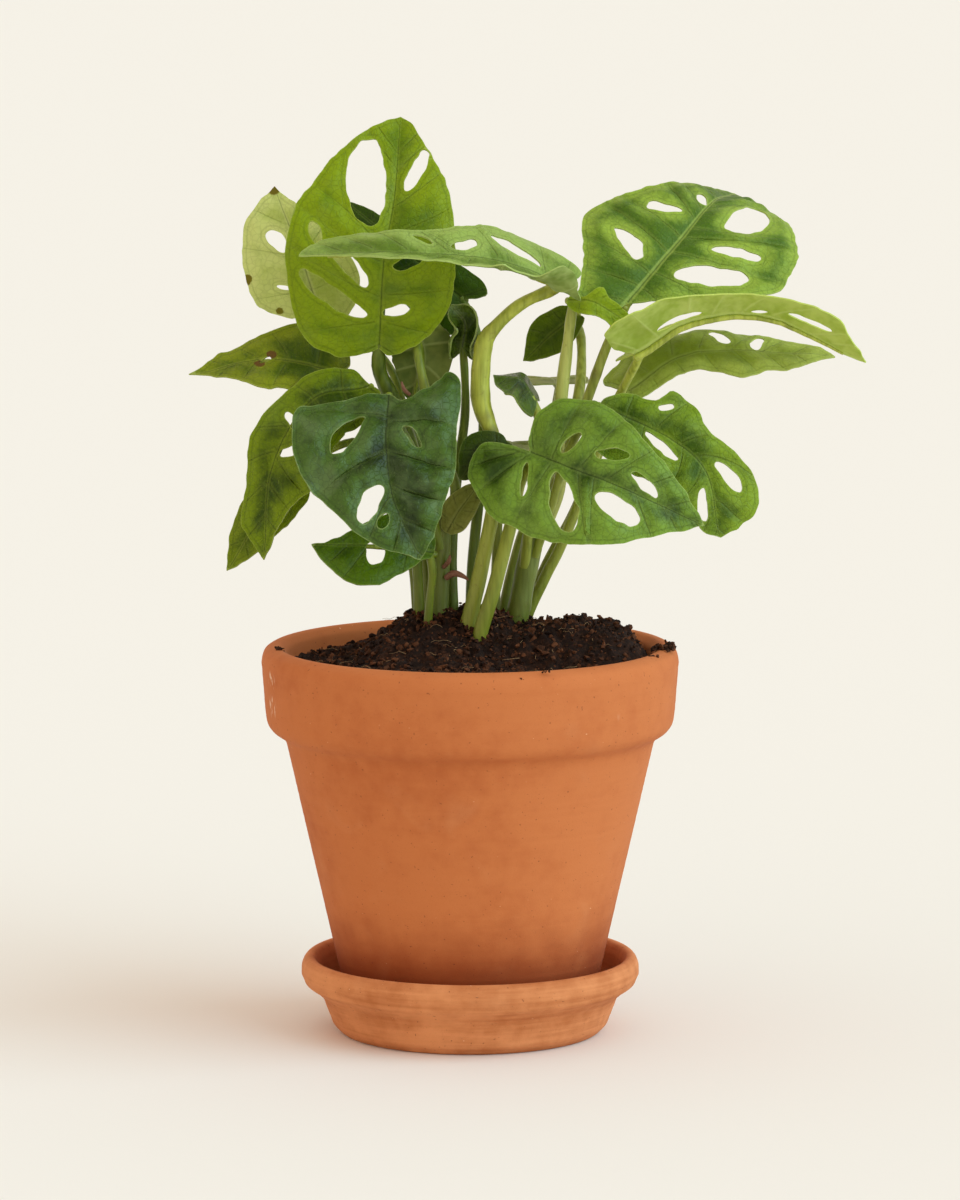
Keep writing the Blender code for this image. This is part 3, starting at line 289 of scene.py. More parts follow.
LEAVES = (
    Leaf(
        "upright",
        spine=((-34, -6, 259), (-32, -10, 292), (-28, -2, 316), (-26, 18, 344)),
        face=(0, -1, 0.15),
        fold=(8, 12),
        curl=(18, 30),
        left=((-3, 8), (-3, 18), (4, 29), (22, 35), (38, 37), (56, 33), (76, 22), (88, 10)),
        right=((-2, 4), (0, 9), (7, 19), (20, 26), (42, 26), (62, 20), (80, 11), (91, 4)),
        holes=(
            (82.5, -10, 45.5, -6.5, 10.5, 4.5),
            (79, 10.5, 61.5, 4, 2.3, 3.4),
            (43, -29, 36, -24, 2.2, 2.2),
            (37.5, -21, 24, -5.5, 2.2, 3.6),
            (28, -30.5, 12.5, -5.5, 4.2, 2.6),
            (31.5, 3.5, 36.5, 14, 2.4, 1.8),
            (13.6, 0.8, 16.6, 10.8, 1.6, 2),
        ),
        stalk=((-22, 4, 220, 3.2), (-30, 1, 241, 3.4), (-34, -1, 251, 2.6)),
        carrier=("cane_left", 190, 125, 2.8),
        stalk_tip=2.0,
    ),
    Leaf(
        "pale_left",
        spine=((-56, 22, 267), (-64, 22, 292), (-74, 32, 317)),
        face=(-0.2, -1, 0.1),
        left=((3, 4), (5, 12), (10, 19), (14, 22), (24, 22.5), (36, 21), (46, 16), (52, 7)),
        right=((-2, 4), (0, 12), (12, 19), (28, 16), (38, 10), (48, 4)),
        holes=((40, -9, 29.5, -4.5, 2.2, 3), (17.5, -12.5, 14.5, -7, 0.8, 1)),
        stalk=((-9, 9, 150, 1.8), (-10, 10, 185, 1.8), (-16, 11, 212, 1.7), (-24, 13, 233, 1.6),
               (-31, 18, 251, 1.5), (-44, 27, 262, 1.4)),
    ),
    Leaf(
        "shaded_middle",
        spine=((-2, 12, 276), (-23, 16, 293), (-47, 34, 311)),
        face=(0, -1, 0.3),
        left=((-6, 4), (-8, 9), (-2, 15), (12, 16), (30, 13), (48, 8), (58, 4)),
        right=((-4, 4), (-5, 7), (1, 9.5), (14, 8.5), (32, 6), (50, 4), (58, 2)),
        stalk=((0, 12, 149, 2), (1, 12, 178, 2), (4, 11, 208, 1.9), (5, 11, 239, 1.8), (3, 13, 262, 1.6)),
    ),
    Leaf(
        "level_front",
        spine=((36, -12, 284), (11, -30, 294), (-26, -40, 298), (-63, -36, 296)),
        face=(0, -0.5, 1),
        face_tip=(0, -0.2, 1),
        fold=((-45, 20), (15, 10)),
        curl=((-150, 10), (0, 10)),
        left=((-3, 3), (-4, 8), (3, 16), (12, 22), (20, 22), (25, 15), (31, 14), (38, 19), (44, 14),
              (62, 11),
              (80, 8), (98, 3)),
        right=((-6, 4), (-8, 9), (-1, 15), (12, 21.5), (30, 22), (46, 17), (70, 14), (90, 14.5),
               (100, 12), (106, 6)),
        holes=((33, 13, 10, 6, 3, 4), (51, 4, 40.5, 8.5, 3.2, 2.2), (65, 10.5, 58, 5.5, 1.6, 1.8)),
        stalk=((-2, -12, 148, 3.1), (4, -12, 177, 2.9), (9, -12, 203, 2.6), (9, -10, 224, 2.5),
               (4, -8, 240, 3.6), (5, -8, 260, 3.3), (9.5, -8, 267.5, 2.5), (19, -8, 276, 2.4),
               (30, -7, 281, 2.2)),
        stalk_tip=1.8,
    ),
    Leaf(
        "broad_right",
        spine=((58, 2, 275), (76, 22, 294), (92, 48, 310), (102, 80, 311)),
        face=(0, -0.8, 0.6),
        fold=(5, 5),
        curl=(20, 20),
        left=((-8, 2), (-12, 8), (-8, 16), (0, 20), (10, 25), (22, 34), (32, 37), (48, 31), (66, 19),
              (88, 10)),
        right=((4, 4), (11, 12), (21, 24), (31, 36), (42, 43), (52, 42), (64, 39), (80, 28), (94, 12)),
        holes=(
            (50, -19.5, 53.5, -6.5, 4.6, 1.2, 0.36),
            (68.7, -5.6, 63, -1.5, 2.2, 1.8),
            (78, 15.5, 54.5, 12.5, 4, 9),
            (40.5, 12.5, 49, 30, 2, 2.4),
            (22, 7.5, 38, 31, 4, 4.6),
            (29.5, -23, 20.5, -7, 2.8, 4.2, 0.6),
        ),
        stalk=((38, 6, 224, 1.9), (44, 7, 239, 1.9), (50, 6, 256, 1.9), (55, 5, 268, 1.8)),
        carrier=("cane_right", 195, 50, 2.0),
    ),
    Leaf(
        "level_right",
        spine=((61, -11, 258), (82, -9, 270), (112, -6, 271), (148, -2, 253.5)),
        face=(0.1, 0, 1),
        fold=(-6, 40),
        left=((-6, 6), (-6, 14), (4, 20), (20, 22), (40, 20), (60, 14), (80, 6)),
        right=((-6, 8), (-8, 20), (-4, 25), (4, 26), (14, 22), (28, 15), (42, 12), (56, 13), (68, 15),
               (77, 15),
               (83, 10), (90, 5)),
        holes=(
            (11.5, 5.5, 28.5, 3.5, 1.8, 2.6),
            (47, 1.5, 53, 2.5, 0.9, 0.9),
            (60, 5.5, 77, 7, 1.4, 1.6),
            (34, -14, 20, -5, 2, 2.4),
            (56, -10, 44, -4, 1.6, 1.8),
        ),
        stalk=((20, 16, 150, 2.2), (28, 15, 170, 2.2), (34, 14, 182, 2.1), (43, 11, 205, 2.0),
               (49, 6, 224, 1.9),
               (55, 1, 239, 1.8)),
    ),
    Leaf(
        "low_right",
        spine=((59, 8, 242), (79, 10, 255), (105, 12, 257), (137, 14, 254)),
        face=(0.1, -0.3, 1),
        fold=(5, -20),
        left=((-4, 5), (-6, 12), (0, 17), (12, 19), (26, 17), (38, 15.5), (50, 12.5), (60, 10),
              (70, 7), (78, 5)),
        right=((-3, 3), (0, 6), (10, 7), (22, 8), (34, 10), (42, 14.5), (47, 16), (52, 14),
               (57, 10.5), (64, 9.5),
               (72, 5)),
        holes=((43, -4, 37, -13.5, 2.4, 2.2), (55, -9.5, 51.5, -1, 2.2, 2.2)),
        stalk=((19, 26, 149, 2.2), (28, 24, 172, 2.1), (40, 21, 196, 2), (49, 17, 219, 1.9),
               (54, 13, 233, 1.7)),
    ),
    Leaf(
        "front_right",
        spine=((22, -26, 223), (37, -36, 218), (57, -44, 211), (86, -42, 197)),
        face=(0, -1, 0.35),
        fold=(4, 4),
        curl=(20, 15),
        left=((-3, 5), (-4, 13), (-1, 21), (7, 26), (13, 27.5), (26, 26), (36, 22), (49, 16), (68, 5)),
        right=((-9, 1), (-17, 2.5), (-20, 8), (-16, 19), (-2, 28), (8, 29), (21, 29), (33, 26),
               (47, 20), (59, 11)),
        holes=(
            (17, -13, 12, -4.5, 2.6, 2.4),
            (38, -12, 25.5, -8, 2.6, 2.4),
            (53.5, -2.6, 41.5, -6.5, 1.8, 2),
            (1.5, 4.5, 7.5, 17, 1.4, 1.6),
            (14.5, 4, 29.5, 22.5, 4.4, 5, 0.62),
            (33, 5.5, 51.5, 9.5, 4.6, 3.4),
        ),
        stalk=((3, -20, 149, 2.7), (9, -20, 171, 2.7), (15, -19, 194, 2.4), (19, -20, 211, 2.0)),
    ),
    Leaf(
        "behind_right",
        spine=((48, -10, 239), (74, -16, 227), (88, -20, 214), (93, -20, 190)),
        face=(0.1, -1, 0.4),
        fold=(2, 2),
        curl=(15, 10),
        left=((2, 5), (9, 9), (18, 10), (22, 17), (30, 16), (39, 11), (48, 13), (57, 17), (67, 15),
              (72, 8)),
        right=((-4, 4), (-3, 10), (6, 16), (20, 19), (36, 18), (50, 14), (62, 9), (70, 5)),
        holes=((25, -12, 21, -8, 1.6, 1.4), (20.5, 2, 37, 5, 3, 0.8), (54, 3, 66.5, 4, 3, 1),
               (58, -11, 47.5, -4.5, 2.2, 2.6)),
        stalk=((31, -2, 202, 1.8), (36, -6, 219, 1.8), (43, -8, 232, 1.6)),
        carrier=("cane_right", 182, -60, 1.8),
    ),
    Leaf(
        "front_left",
        spine=((-30, -22, 244), (-31, -34, 228), (-28, -44, 207), (-18, -48, 185)),
        face=(0, -1, 0.3),
        fold=(6, 6),
        curl=(10, 10),
        left=((3, 5), (1, 10), (-4, 17), (-10, 22), (-4, 26), (20, 26), (34, 25), (48, 20), (60, 10)),
        right=((1, 8), (5, 17), (10, 32), (15, 35), (24, 34), (34, 30), (44, 21), (52, 16), (62, 7)),
        holes=((11, 8.5, 24.5, 20, 3.2, 3.4, 0.6), (15, -7, 24, -12.5, 1.7, 2.2),
               (38, 3, 47.5, 14.5, 3.4, 2.9),
               (48, 4, 51.5, 9, 1.8, 1.6)),
        stalk=((-19, -13, 215, 2), (-26, -17, 231, 1.8)),
        carrier=("cane_left", 186, -95, 2.0),
    ),
    Leaf(
        "arching_left",
        spine=((-37, -8, 246), (-59, -14, 241), (-74, -18, 215), (-77, -16, 181)),
        face=(-0.4, -1, 0.5),
        left=((-2, 6), (6, 14), (20, 20), (40, 21), (56, 19), (64, 13), (75, 5.5), (84, 2)),
        right=((2, 4), (5, 8), (14, 9), (28, 10), (40, 12.5), (50, 12), (58, 9), (68, 9.5), (76, 10),
               (83, 5)),
        holes=((36, -3, 33, 4.5, 1.6, 1.6), (48, -1.5, 41.5, -9, 2, 2)),
        stalk=((-19, -4, 153, 2.0), (-20, -5, 180, 2), (-23, -7, 210, 2), (-31, -7, 233, 1.8)),
    ),
    Leaf(
        "hanging_left",
        spine=((-64, 2, 210), (-78, 0, 197), (-91, -2, 175)),
        face=(-0.3, -1, 0.3),
        left=((-2, 4), (4, 9), (16, 11), (30, 8), (40, 3)),
        right=((-2, 4), (4, 8), (16, 9), (30, 7), (40, 3)),
        stalk=((-20, 18, 151, 1.8), (-22, 16, 177, 1.8), (-28, 13, 206, 1.7), (-40, 9, 222, 1.6),
               (-54, 6, 219, 1.5)),
    ),
    Leaf(
        "pointed_left",
        spine=((-47, 9, 249), (-75, 6, 254.5), (-105, 2, 248.5)),
        face=(0, -0.7, 1),
        left=((-2, 6), (2, 14), (12, 18), (23, 17.5), (32, 17), (38, 14), (46, 6.5), (54, 1.5)),
        right=((-2, 6), (2, 16), (12, 22), (22, 19), (30, 13), (40, 8), (47, 7), (55, 2.5)),
        holes=((33, -2.5, 28, 1, 1, 1.2),),
        stalk=((-16, 8, 151, 1.8), (-17, 8, 178, 1.8), (-24, 8, 209, 1.8), (-35, 7, 235, 1.7)),
    ),
    Leaf(
        "low_front",
        spine=((-13, -17, 184), (-32, -20, 187), (-59, -25, 188)),
        face=(0, -1, 0.6),
        left=((2, 3), (5, 4.5), (12, 10.5), (20, 15.5), (27, 17), (32, 15.5), (38, 12), (44, 5)),
        right=((0, 6), (4, 12), (14, 14), (26, 9), (34, 4), (42, 1)),
        holes=((24, -8, 22.5, 1, 4, 3.6),),
        stalk=((-16, -12, 151, 1.6), (-15, -13, 166, 1.6), (-14, -14.5, 176, 1.5)),
    ),
    Leaf(
        "curled_young",
        spine=((-3, 3, 257), (-2, -1, 268), (-7, -3, 275)),
        face=(0, -1, 0.3),
        curl=(-130, -130),
        left=((-2, 5), (2, 10), (9, 11), (16, 8)),
        right=((-2, 5), (2, 10), (9, 11), (16, 8)),
        stalk=((-6, 4, 148, 2.1), (-7, 3, 179, 2.1), (-5, 3, 209, 1.9), (-2, 5, 232, 1.7),
               (-2, 5, 248, 1.5)),
        stalk_tip=1.3,
    ),
    Leaf(
        "hanging_middle",
        spine=((-20, -3, 266), (-18, 4, 254), (-22, 10, 236)),
        face=(0, 1, 0.1),
        left=((-3, 3), (-3, 7), (4, 11), (16, 11), (26, 6)),
        right=((-3, 3), (-3, 7), (4, 11), (16, 11), (26, 6)),
        stalk=((-5.5, -4, 207, 2), (-12, -7, 223, 2), (-16, -8, 240, 2), (-19, -7, 255, 1.7)),
        carrier=("cane_left", 194, 0, 2.0),
    ),
    Leaf(
        "folded_young",
        spine=((25, -3, 240), (19, -5, 248), (9, -4, 249)),
        face=(0, -0.4, 1),
        fold=(-40, -30),
        curl=(-60, -30),
        left=((-2, 4), (-2, 9), (5, 13), (13, 12), (18, 6)),
        right=((-2, 4), (0, 8), (6, 9), (14, 6)),
        stalk=((23, -3.5, 202, 2), (25, -4, 214, 2), (27, -2, 228, 1.8)),
        carrier=("cane_right", 178, -120, 2.0),
    ),
    Leaf(
        "olive_back",
        spine=((40, 26, 269), (30, 28, 261), (20, 26, 251)),
        face=(-0.2, -1, 0.3),
        left=((-2, 3), (4, 7), (14, 8), (22, 4)),
        right=((-2, 3), (4, 7), (14, 8), (22, 4)),
        stalk=((36, 14, 223, 2.2), (41, 18, 240, 2.1), (42, 30, 259, 1.7)),
        carrier=("cane_right", 195, 100, 2.2),
    ),
    Leaf(
        "small_middle",
        spine=((15, -15, 222), (5, -16, 222), (-4, -17, 211)),
        face=(-0.2, -1, 0.3),
        left=((-1, 2.5), (4, 6), (12, 8), (20, 4)),
        right=((-1, 2.5), (4, 6), (12, 8), (20, 4)),
        stalk=((15, -14, 211, 1.3), (15.5, -12.5, 217, 1.2)),
        carrier=("stalk_front_right", 198, 100, 1.3),
        stalk_tip=1.1,
    ),
    Leaf(
        "bright_centre",
        spine=((36, -3, 277.5), (46, -9, 277), (59, -9, 269)),
        face=(0, -1, 0.4),
        left=((2, 1.5), (8, 1.5), (12, 6.5), (16, 4), (21, 4), (25, 3)),
        right=((1, 3), (5, 5), (10, 6), (15, 5), (19, 4), (24, 4.5)),
        stalk=((33.5, 4.5, 206, 2.4), (33, 2, 222, 2.4), (34, 0, 240, 2.5), (36, -1, 257, 2.3)),
        carrier=("cane_right", 190, 0, 2.3),
    ),
    Leaf(
        "high_back",
        spine=((34, 26, 243), (31, 48, 243), (24, 84, 238)),
        face=(0, -0.1, 1),
        left=((-3, 4), (-4, 10), (6, 16), (22, 15), (42, 10), (54, 4)),
        right=((-3, 4), (-4, 8), (6, 12), (24, 12), (42, 8), (54, 3)),
        holes=((14, -6, 28, -9, 2, 2), (18, 4, 32, 6, 1.6, 1.6)),
        stalk=((12, 20, 150, 2.2), (17, 22, 176, 2.1), (27, 26, 208, 2), (32, 26, 231, 1.7)),
    ),
    Leaf(
        "low_back",
        spine=((12, 20, 219), (16, 42, 219), (24, 66, 212)),
        face=(0, -0.35, 1),
        left=((-3, 4), (-3, 9), (8, 13), (24, 12), (40, 6)),
        right=((-3, 4), (-3, 9), (8, 13), (24, 12), (40, 6)),
        holes=((14, -4, 26, -7, 1.8, 1.8),),
        stalk=((9, 16, 150, 2), (10, 17, 177, 1.9), (11, 18, 204, 1.6)),
    ),
)

# Each cane's centre line and radius, from the soil up
CANES = {
    "cane_left": ((-12, -2, 147, 4.2), (-12, -2, 165, 4.1), (-11, -2, 188, 3.9), (-10.5, -2, 199, 3.1)),
    "cane_right": ((17, 6, 148, 4.2), (19, 6, 163, 4.2), (24, 6, 188, 4.0), (27, 6, 202, 3.2)),
}

SHEATH = Leaf(
    "sheath",
    spine=((-9, -6.9, 190), (-4, -8.4, 199), (3, -7.4, 208)),
    face=(-0.3, -1, 0.3),
    left=((1, 3), (6, 6), (14, 6), (20, 3)),
    right=((1, 3), (6, 6), (14, 6), (20, 3)),
)

# Heights of the ring scars on a stem, and its buds as centre lines with radii
RING_SCARS = {
    "level_front": (228, 234, 243, 252, 261, 266),
    "hanging_middle": (232, 246),
    "cane_left": (158, 171, 185, 193),
    "cane_right": (160, 174, 186, 196),
    "bright_centre": (216, 238),
    "broad_right": (232, 248),
}
BUDS = {
    "cane_left": (((-9, -6, 173, 1.1), (-6, -8, 175, 1.3), (-2.5, -9, 174, 0.9), (-0.5, -9.5, 172.5, 0.3)),
                  ((-10, -6, 177, 0.8), (-8, -8, 179.5, 0.9), (-7.5, -9, 182, 0.3))),
    "cane_right": (((12, 3, 155, 1.0), (9, 1, 158, 1.3), (7.5, 0, 162, 0.9), (7, 0, 165, 0.3)),),
    "hanging_middle": (((-22.5, -7, 242, 0.7), (-24.5, -8, 244, 0.8), (-25.5, -8, 247, 0.3)),),
}


def linear(colour):
    """A colour in 0 to 255 as the shaders' linear RGBA."""
    shares = [value / 255 for value in colour]
    straight = [((share + 0.055) / 1.055) ** 2.4 if share > 0.04045 else share / 12.92 for share in shares]
    return (*straight, 1.0)


def blend_colours(first, second, share):
    """The first colour moved towards the second."""
    return tuple(a + (b - a) * share for a, b in zip(first, second))


class Value:
    """A shader socket that is added and multiplied like a number."""

    def __init__(self, paint, socket):
        self.paint = paint
        self.socket = socket

    def maths(self, operation, first, second):
        """One Math node on two values."""
        return self.paint.node("ShaderNodeMath", {"operation": operation}, {0: first, 1: second})

    def __add__(self, other):
        return self.maths("ADD", self, other)

    def __radd__(self, other):
        return self.maths("ADD", other, self)

    def __sub__(self, other):
        return self.maths("SUBTRACT", self, other)

    def __rsub__(self, other):
        return self.maths("SUBTRACT", other, self)

    def __mul__(self, other):
        return self.maths("MULTIPLY", self, other)

    def __rmul__(self, other):
        return self.maths("MULTIPLY", other, self)

    def __truediv__(self, other):
        return self.maths("DIVIDE", self, other)


class Paint:
    """One finish: a material whose nodes all come from node()."""

    def __init__(self, name):
        self.material = bpy.data.materials.new(name)
        self.material.use_nodes = True
        self.tree = self.material.node_tree
        self.tree.nodes.clear()
        self.place = self.node("ShaderNodeTexCoord", output="Object")

    def node(self, kind, settings=None, inputs=None, output=0):
        """A node of a kind, its settings made first, then the values or links of its sockets."""
        made = self.tree.nodes.new(kind)
        for name, value in (settings or {}).items():
            setattr(made, name, value)
        for name, value in (inputs or {}).items():
            socket = made.inputs[name]
            if isinstance(value, Value):
                self.tree.links.new(value.socket, socket)
            else:
                socket.default_value = value
        return Value(self, made.outputs[output]) if made.outputs else None

    def mix(self, share, first, second, how="MIX"):
        """A colour between two others, or one laid over the other."""
        settings = {"data_type": "RGBA", "blend_type": how, "clamp_factor": True}
        return self.node("ShaderNodeMix", settings, {0: share, 6: first, 7: second}, 2)

    def attribute(self, name):
        """A number kept on the piece's points."""
        return self.node("ShaderNodeAttribute", {"attribute_name": name}, output="Fac")

    def height(self):
        """Millimetres above the floor."""
        return self.node("ShaderNodeSeparateXYZ", inputs={0: self.place}, output="Z") / MM

    def stretched(self, x, y, z):
        """Object coordinates multiplied along each axis."""
        return self.node("ShaderNodeVectorMath", {"operation": "MULTIPLY"}, {0: self.place, 1: (x, y, z)})

    def mottle(self, size, detail=2.0, place=None, twist=0.0):
        """Soft noise from 0 to 1 whose patches are about size millimetres."""
        inputs = {
            "Vector": place or self.place,
            "Scale": 1 / (size * MM),
            "Detail": detail,
            "Distortion": twist,
        }
        return self.node("ShaderNodeTexNoise", inputs=inputs, output="Fac")

    def streaks(self, size, detail):
        """Noise on a leaf, drawn out along its side veins."""
        inputs = {0: self.attribute("row") * (VEIN_SPACING * MM), 1: self.attribute("across") * (0.16 * MM)}
        return self.mottle(size, detail, self.node("ShaderNodeCombineXYZ", inputs=inputs))

    def cells(self, size):
        """Distance from the borders of cells of about size millimetres."""
        settings = {"feature": "DISTANCE_TO_EDGE"}
        inputs = {"Vector": self.place, "Scale": 1 / (size * MM)}
        return self.node("ShaderNodeTexVoronoi", settings, inputs, "Distance")

    def rise(self, value, low, high):
        """0 below low, 1 above high and a soft step between, or the reverse where low is above high."""
        settings = {"interpolation_type": "SMOOTHSTEP"}
        return self.node("ShaderNodeMapRange", settings, {"Value": value, "From Min": low, "From Max": high})

    def near(self, point, inner, outer):
        """1 within inner millimetres of a point, and 0 past outer."""
        centre = tuple(value * MM for value in point)
        inputs = {0: self.place, 1: centre}
        away = self.node("ShaderNodeVectorMath", {"operation": "DISTANCE"}, inputs, "Value")
        return self.rise(away, outer * MM, inner * MM)

    def finish(self, colour, roughness, height=None, depth=0.2, through=0.0, glow=None, *, shine):
        """The shader: a bump depth millimetres high, and the share and colour of light that comes through."""
        inputs = {"Base Color": colour, "Roughness": roughness, "Specular IOR Level": shine}
        if height is not None:
            bump = {"Strength": 1.0, "Distance": depth * MM, "Height": height}
            inputs["Normal"] = self.node("ShaderNodeBump", inputs=bump)
        shader = self.node("ShaderNodeBsdfPrincipled", inputs=inputs)
        if through:
            passing = self.node("ShaderNodeBsdfTranslucent", inputs={"Color": linear(glow)})
            shader = self.node("ShaderNodeMixShader", inputs={0: through, 1: shader, 2: passing})
        self.node("ShaderNodeOutputMaterial", inputs={"Surface": shader})
        return self.material


def leaf_paint(name, look):
    """Upper side: deep green inside, lighter at the margin, creased veins, a pale rib, brown scars, and
    painted light: shade in the folds, sheen patches and a pale rim along the edge.
    """
    paint = Paint(f"upper_{name}")
    rib, vein, edge, scar = (paint.attribute(part) for part in ("rib", "vein", "edge", "scar"))
    light, deep = linear(look.light), linear(look.deep)
    shadow = linear(blend_colours(look.deep, LEAF_SHADOW, 0.45))
    pale = linear(blend_colours(look.light, PALE_VEIN, look.veins))
    # A pale green for the painted rim light at the edge and for the flecks
    rim_light_and_fleck_pale = linear(blend_colours(look.light, PALE_VEIN, 0.5))
    brushed = paint.streaks(0.9, 2) * 0.20 + paint.mottle(1.5, 3) * 0.34
    brushed = brushed + paint.mottle(17, 3, twist=0.6) * 0.5
    inner = paint.rise(edge, 0.5, 11.0) * 0.56 + paint.rise(rib, 15.0, 1.0) * 0.22
    inner = inner - paint.rise(vein, 0.4, 4.0) * 0.2
    colour = paint.mix(paint.rise(brushed + inner, 0.42 - look.depth, 1.18 - look.depth), light, deep)
    # Painted shade in the folds: noise patches darkened towards the shadow colour
    fold_shade = paint.rise(paint.mottle(9, 2, twist=2.0), 0.54, 0.72) * look.crumple_shade_and_sheen
    colour = paint.mix(fold_shade, colour, shadow)
    # Painted sheen: pale grey patches that stand in for glossy highlights on the bulges
    sheen_patches = paint.rise(paint.mottle(12, 2, twist=0.5), 0.46, 0.72) * look.crumple_shade_and_sheen
    colour = paint.mix(sheen_patches, colour, linear(SHEEN_GREY))
    net = paint.rise(paint.cells(2.3), 0.10, 0.0)
    colour = paint.mix(net * 0.16, colour, shadow)
    colour = paint.mix(paint.rise(vein, 1.7, 0.5) * 0.16, colour, pale)
    colour = paint.mix(paint.rise(vein, 0.50, 0.12) * 0.32, colour, shadow)
    hem = paint.rise(edge, 1.2, 1.6) * paint.rise(edge, 2.2, 1.8)
    colour = paint.mix(hem * 0.24, colour, shadow)
    colour = paint.mix(paint.rise(rib, 1.25, 0.8) * look.rib, colour, pale)
    colour = paint.mix(paint.rise(rib, 0.40, 0.08) * 0.6, colour, shadow)
    # Painted rim light: a thin pale line along the leaf's edge
    margin = paint.rise(edge + paint.mottle(5) * 0.4, 0.65, 0.3) * 0.65
    colour = paint.mix(margin, colour, rim_light_and_fleck_pale)
    flecks = paint.rise(paint.mottle(0.6, 0), 0.72, 0.78) * 0.16
    colour = paint.mix(flecks, colour, rim_light_and_fleck_pale)
    dead = paint.rise(scar + (paint.mottle(2.2) - 0.5) * 0.7, 0.35, 0.6)
    colour = paint.mix(dead, colour, linear(DEAD_BROWN))
    roughness = look.roughness + (paint.mottle(5, 3) - 0.5) * 0.26 + dead * 0.3
    lines = net * 0.35 + paint.rise(vein, 0.6, 0.0) * 0.9
    height = paint.mottle(0.9, 1) * 0.35 + paint.streaks(1.3, 2) * 0.9 + paint.mottle(2.6, 2) * 0.9 - lines
    glow = blend_colours(look.light, LEAF_GLOW, 0.5)
    return paint.finish(colour, roughness, height, 0.24, look.through, glow, shine=look.shine)


def underside_paint(name, look):
    """Lower side: paler and duller, with raised veins."""
    paint = Paint(f"under_{name}")
    rib, vein = paint.attribute("rib"), paint.attribute("vein")
    light = linear(blend_colours(look.light, UNDER_LIGHT, 0.5))
    deep = linear(blend_colours(look.deep, UNDER_DEEP, 0.5))
    patches = paint.mottle(12, 3) + paint.mottle(3, 2) * 0.4
    colour = paint.mix(paint.rise(patches, 0.5, 0.95), light, deep)
    lines = paint.rise(vein, 0.9, 0.2) * 0.5
    pale = linear(blend_colours(look.light, PALE_VEIN, 0.7))
    colour = paint.mix(lines, colour, pale)
    colour = paint.mix(paint.rise(rib, 1.8, 0.8) * 0.7, colour, pale)
    dead = paint.rise(paint.attribute("scar") + (paint.mottle(2.2) - 0.5) * 0.7, 0.35, 0.6)
    colour = paint.mix(dead, colour, linear(DEAD_BROWN))
    height = lines + paint.mottle(0.9, 1) * 0.4
    glow = blend_colours(look.light, UNDER_GLOW, 0.4)
    return paint.finish(colour, 0.55, height, 0.2, look.through, glow, shine=0.35)


def stem_paint(name, colour):
    """Green skin streaked along the stem, with painted shade low down, brown ring scars and corky flecks."""
    paint = Paint(f"stem_{name}")
    lengthwise = paint.stretched(1, 1, 0.12)
    streaks = paint.mottle(1.5, 2, lengthwise) + paint.mottle(5, 2, lengthwise) * 0.7
    light = linear(blend_colours(colour, STEM_LIGHT, 0.25))
    deep = linear(blend_colours(colour, STEM_DEEP, 0.34))
    skin = paint.mix(paint.rise(streaks, 0.6, 1.15), light, deep)
    # Painted shade: each stem darkens low down towards the soil
    low = paint.rise(paint.height() + (streaks - 0.85) * 40, 205, 148) * 0.5
    skin = paint.mix(low, skin, linear(blend_colours(colour, STEM_FOOT_SHADE, 0.62)))
    corky = paint.rise(paint.mottle(2.0, 2), 0.62, 0.72) * 0.3
    skin = paint.mix(corky, skin, linear(STEM_CORK))
    ring = paint.attribute("ring")
    skin = paint.mix(ring * 0.5, skin, linear(RING_BROWN))
    bud = paint.attribute("bud")
    bud_skin = paint.mix(paint.mottle(1.6, 2), linear(BUD_COLOUR), linear(BUD_PALE))
    skin = paint.mix(bud, skin, bud_skin)
    height = streaks * 0.6 + ring * -0.8 + paint.mottle(0.7, 1) * 0.25
    roughness = 0.42 + corky * 0.8 + bud * 0.2
    return paint.finish(skin, roughness, height, 0.25, shine=0.4)


def soil_paint():
    """Dark moist peat: near black to red brown from crumb to crumb."""
    paint = Paint("peat")
    shade = paint.attribute("shade")
    patches = paint.mottle(1.6, 3) * 0.8 + shade * 0.5 + paint.mottle(9, 2) * 0.3
    colour = paint.mix(paint.rise(patches, 0.45, 1.2), linear(PEAT_DARK), linear(PEAT_BROWN))
    pale = paint.rise(shade, 1.5, 1.9) * 0.8
    colour = paint.mix(pale, colour, linear(HAIR_COLOUR))
    height = paint.mottle(0.7, 3) + paint.mottle(0.3, 2) * 0.5
    return paint.finish(colour, 0.93, height, 0.5, shine=0.18)


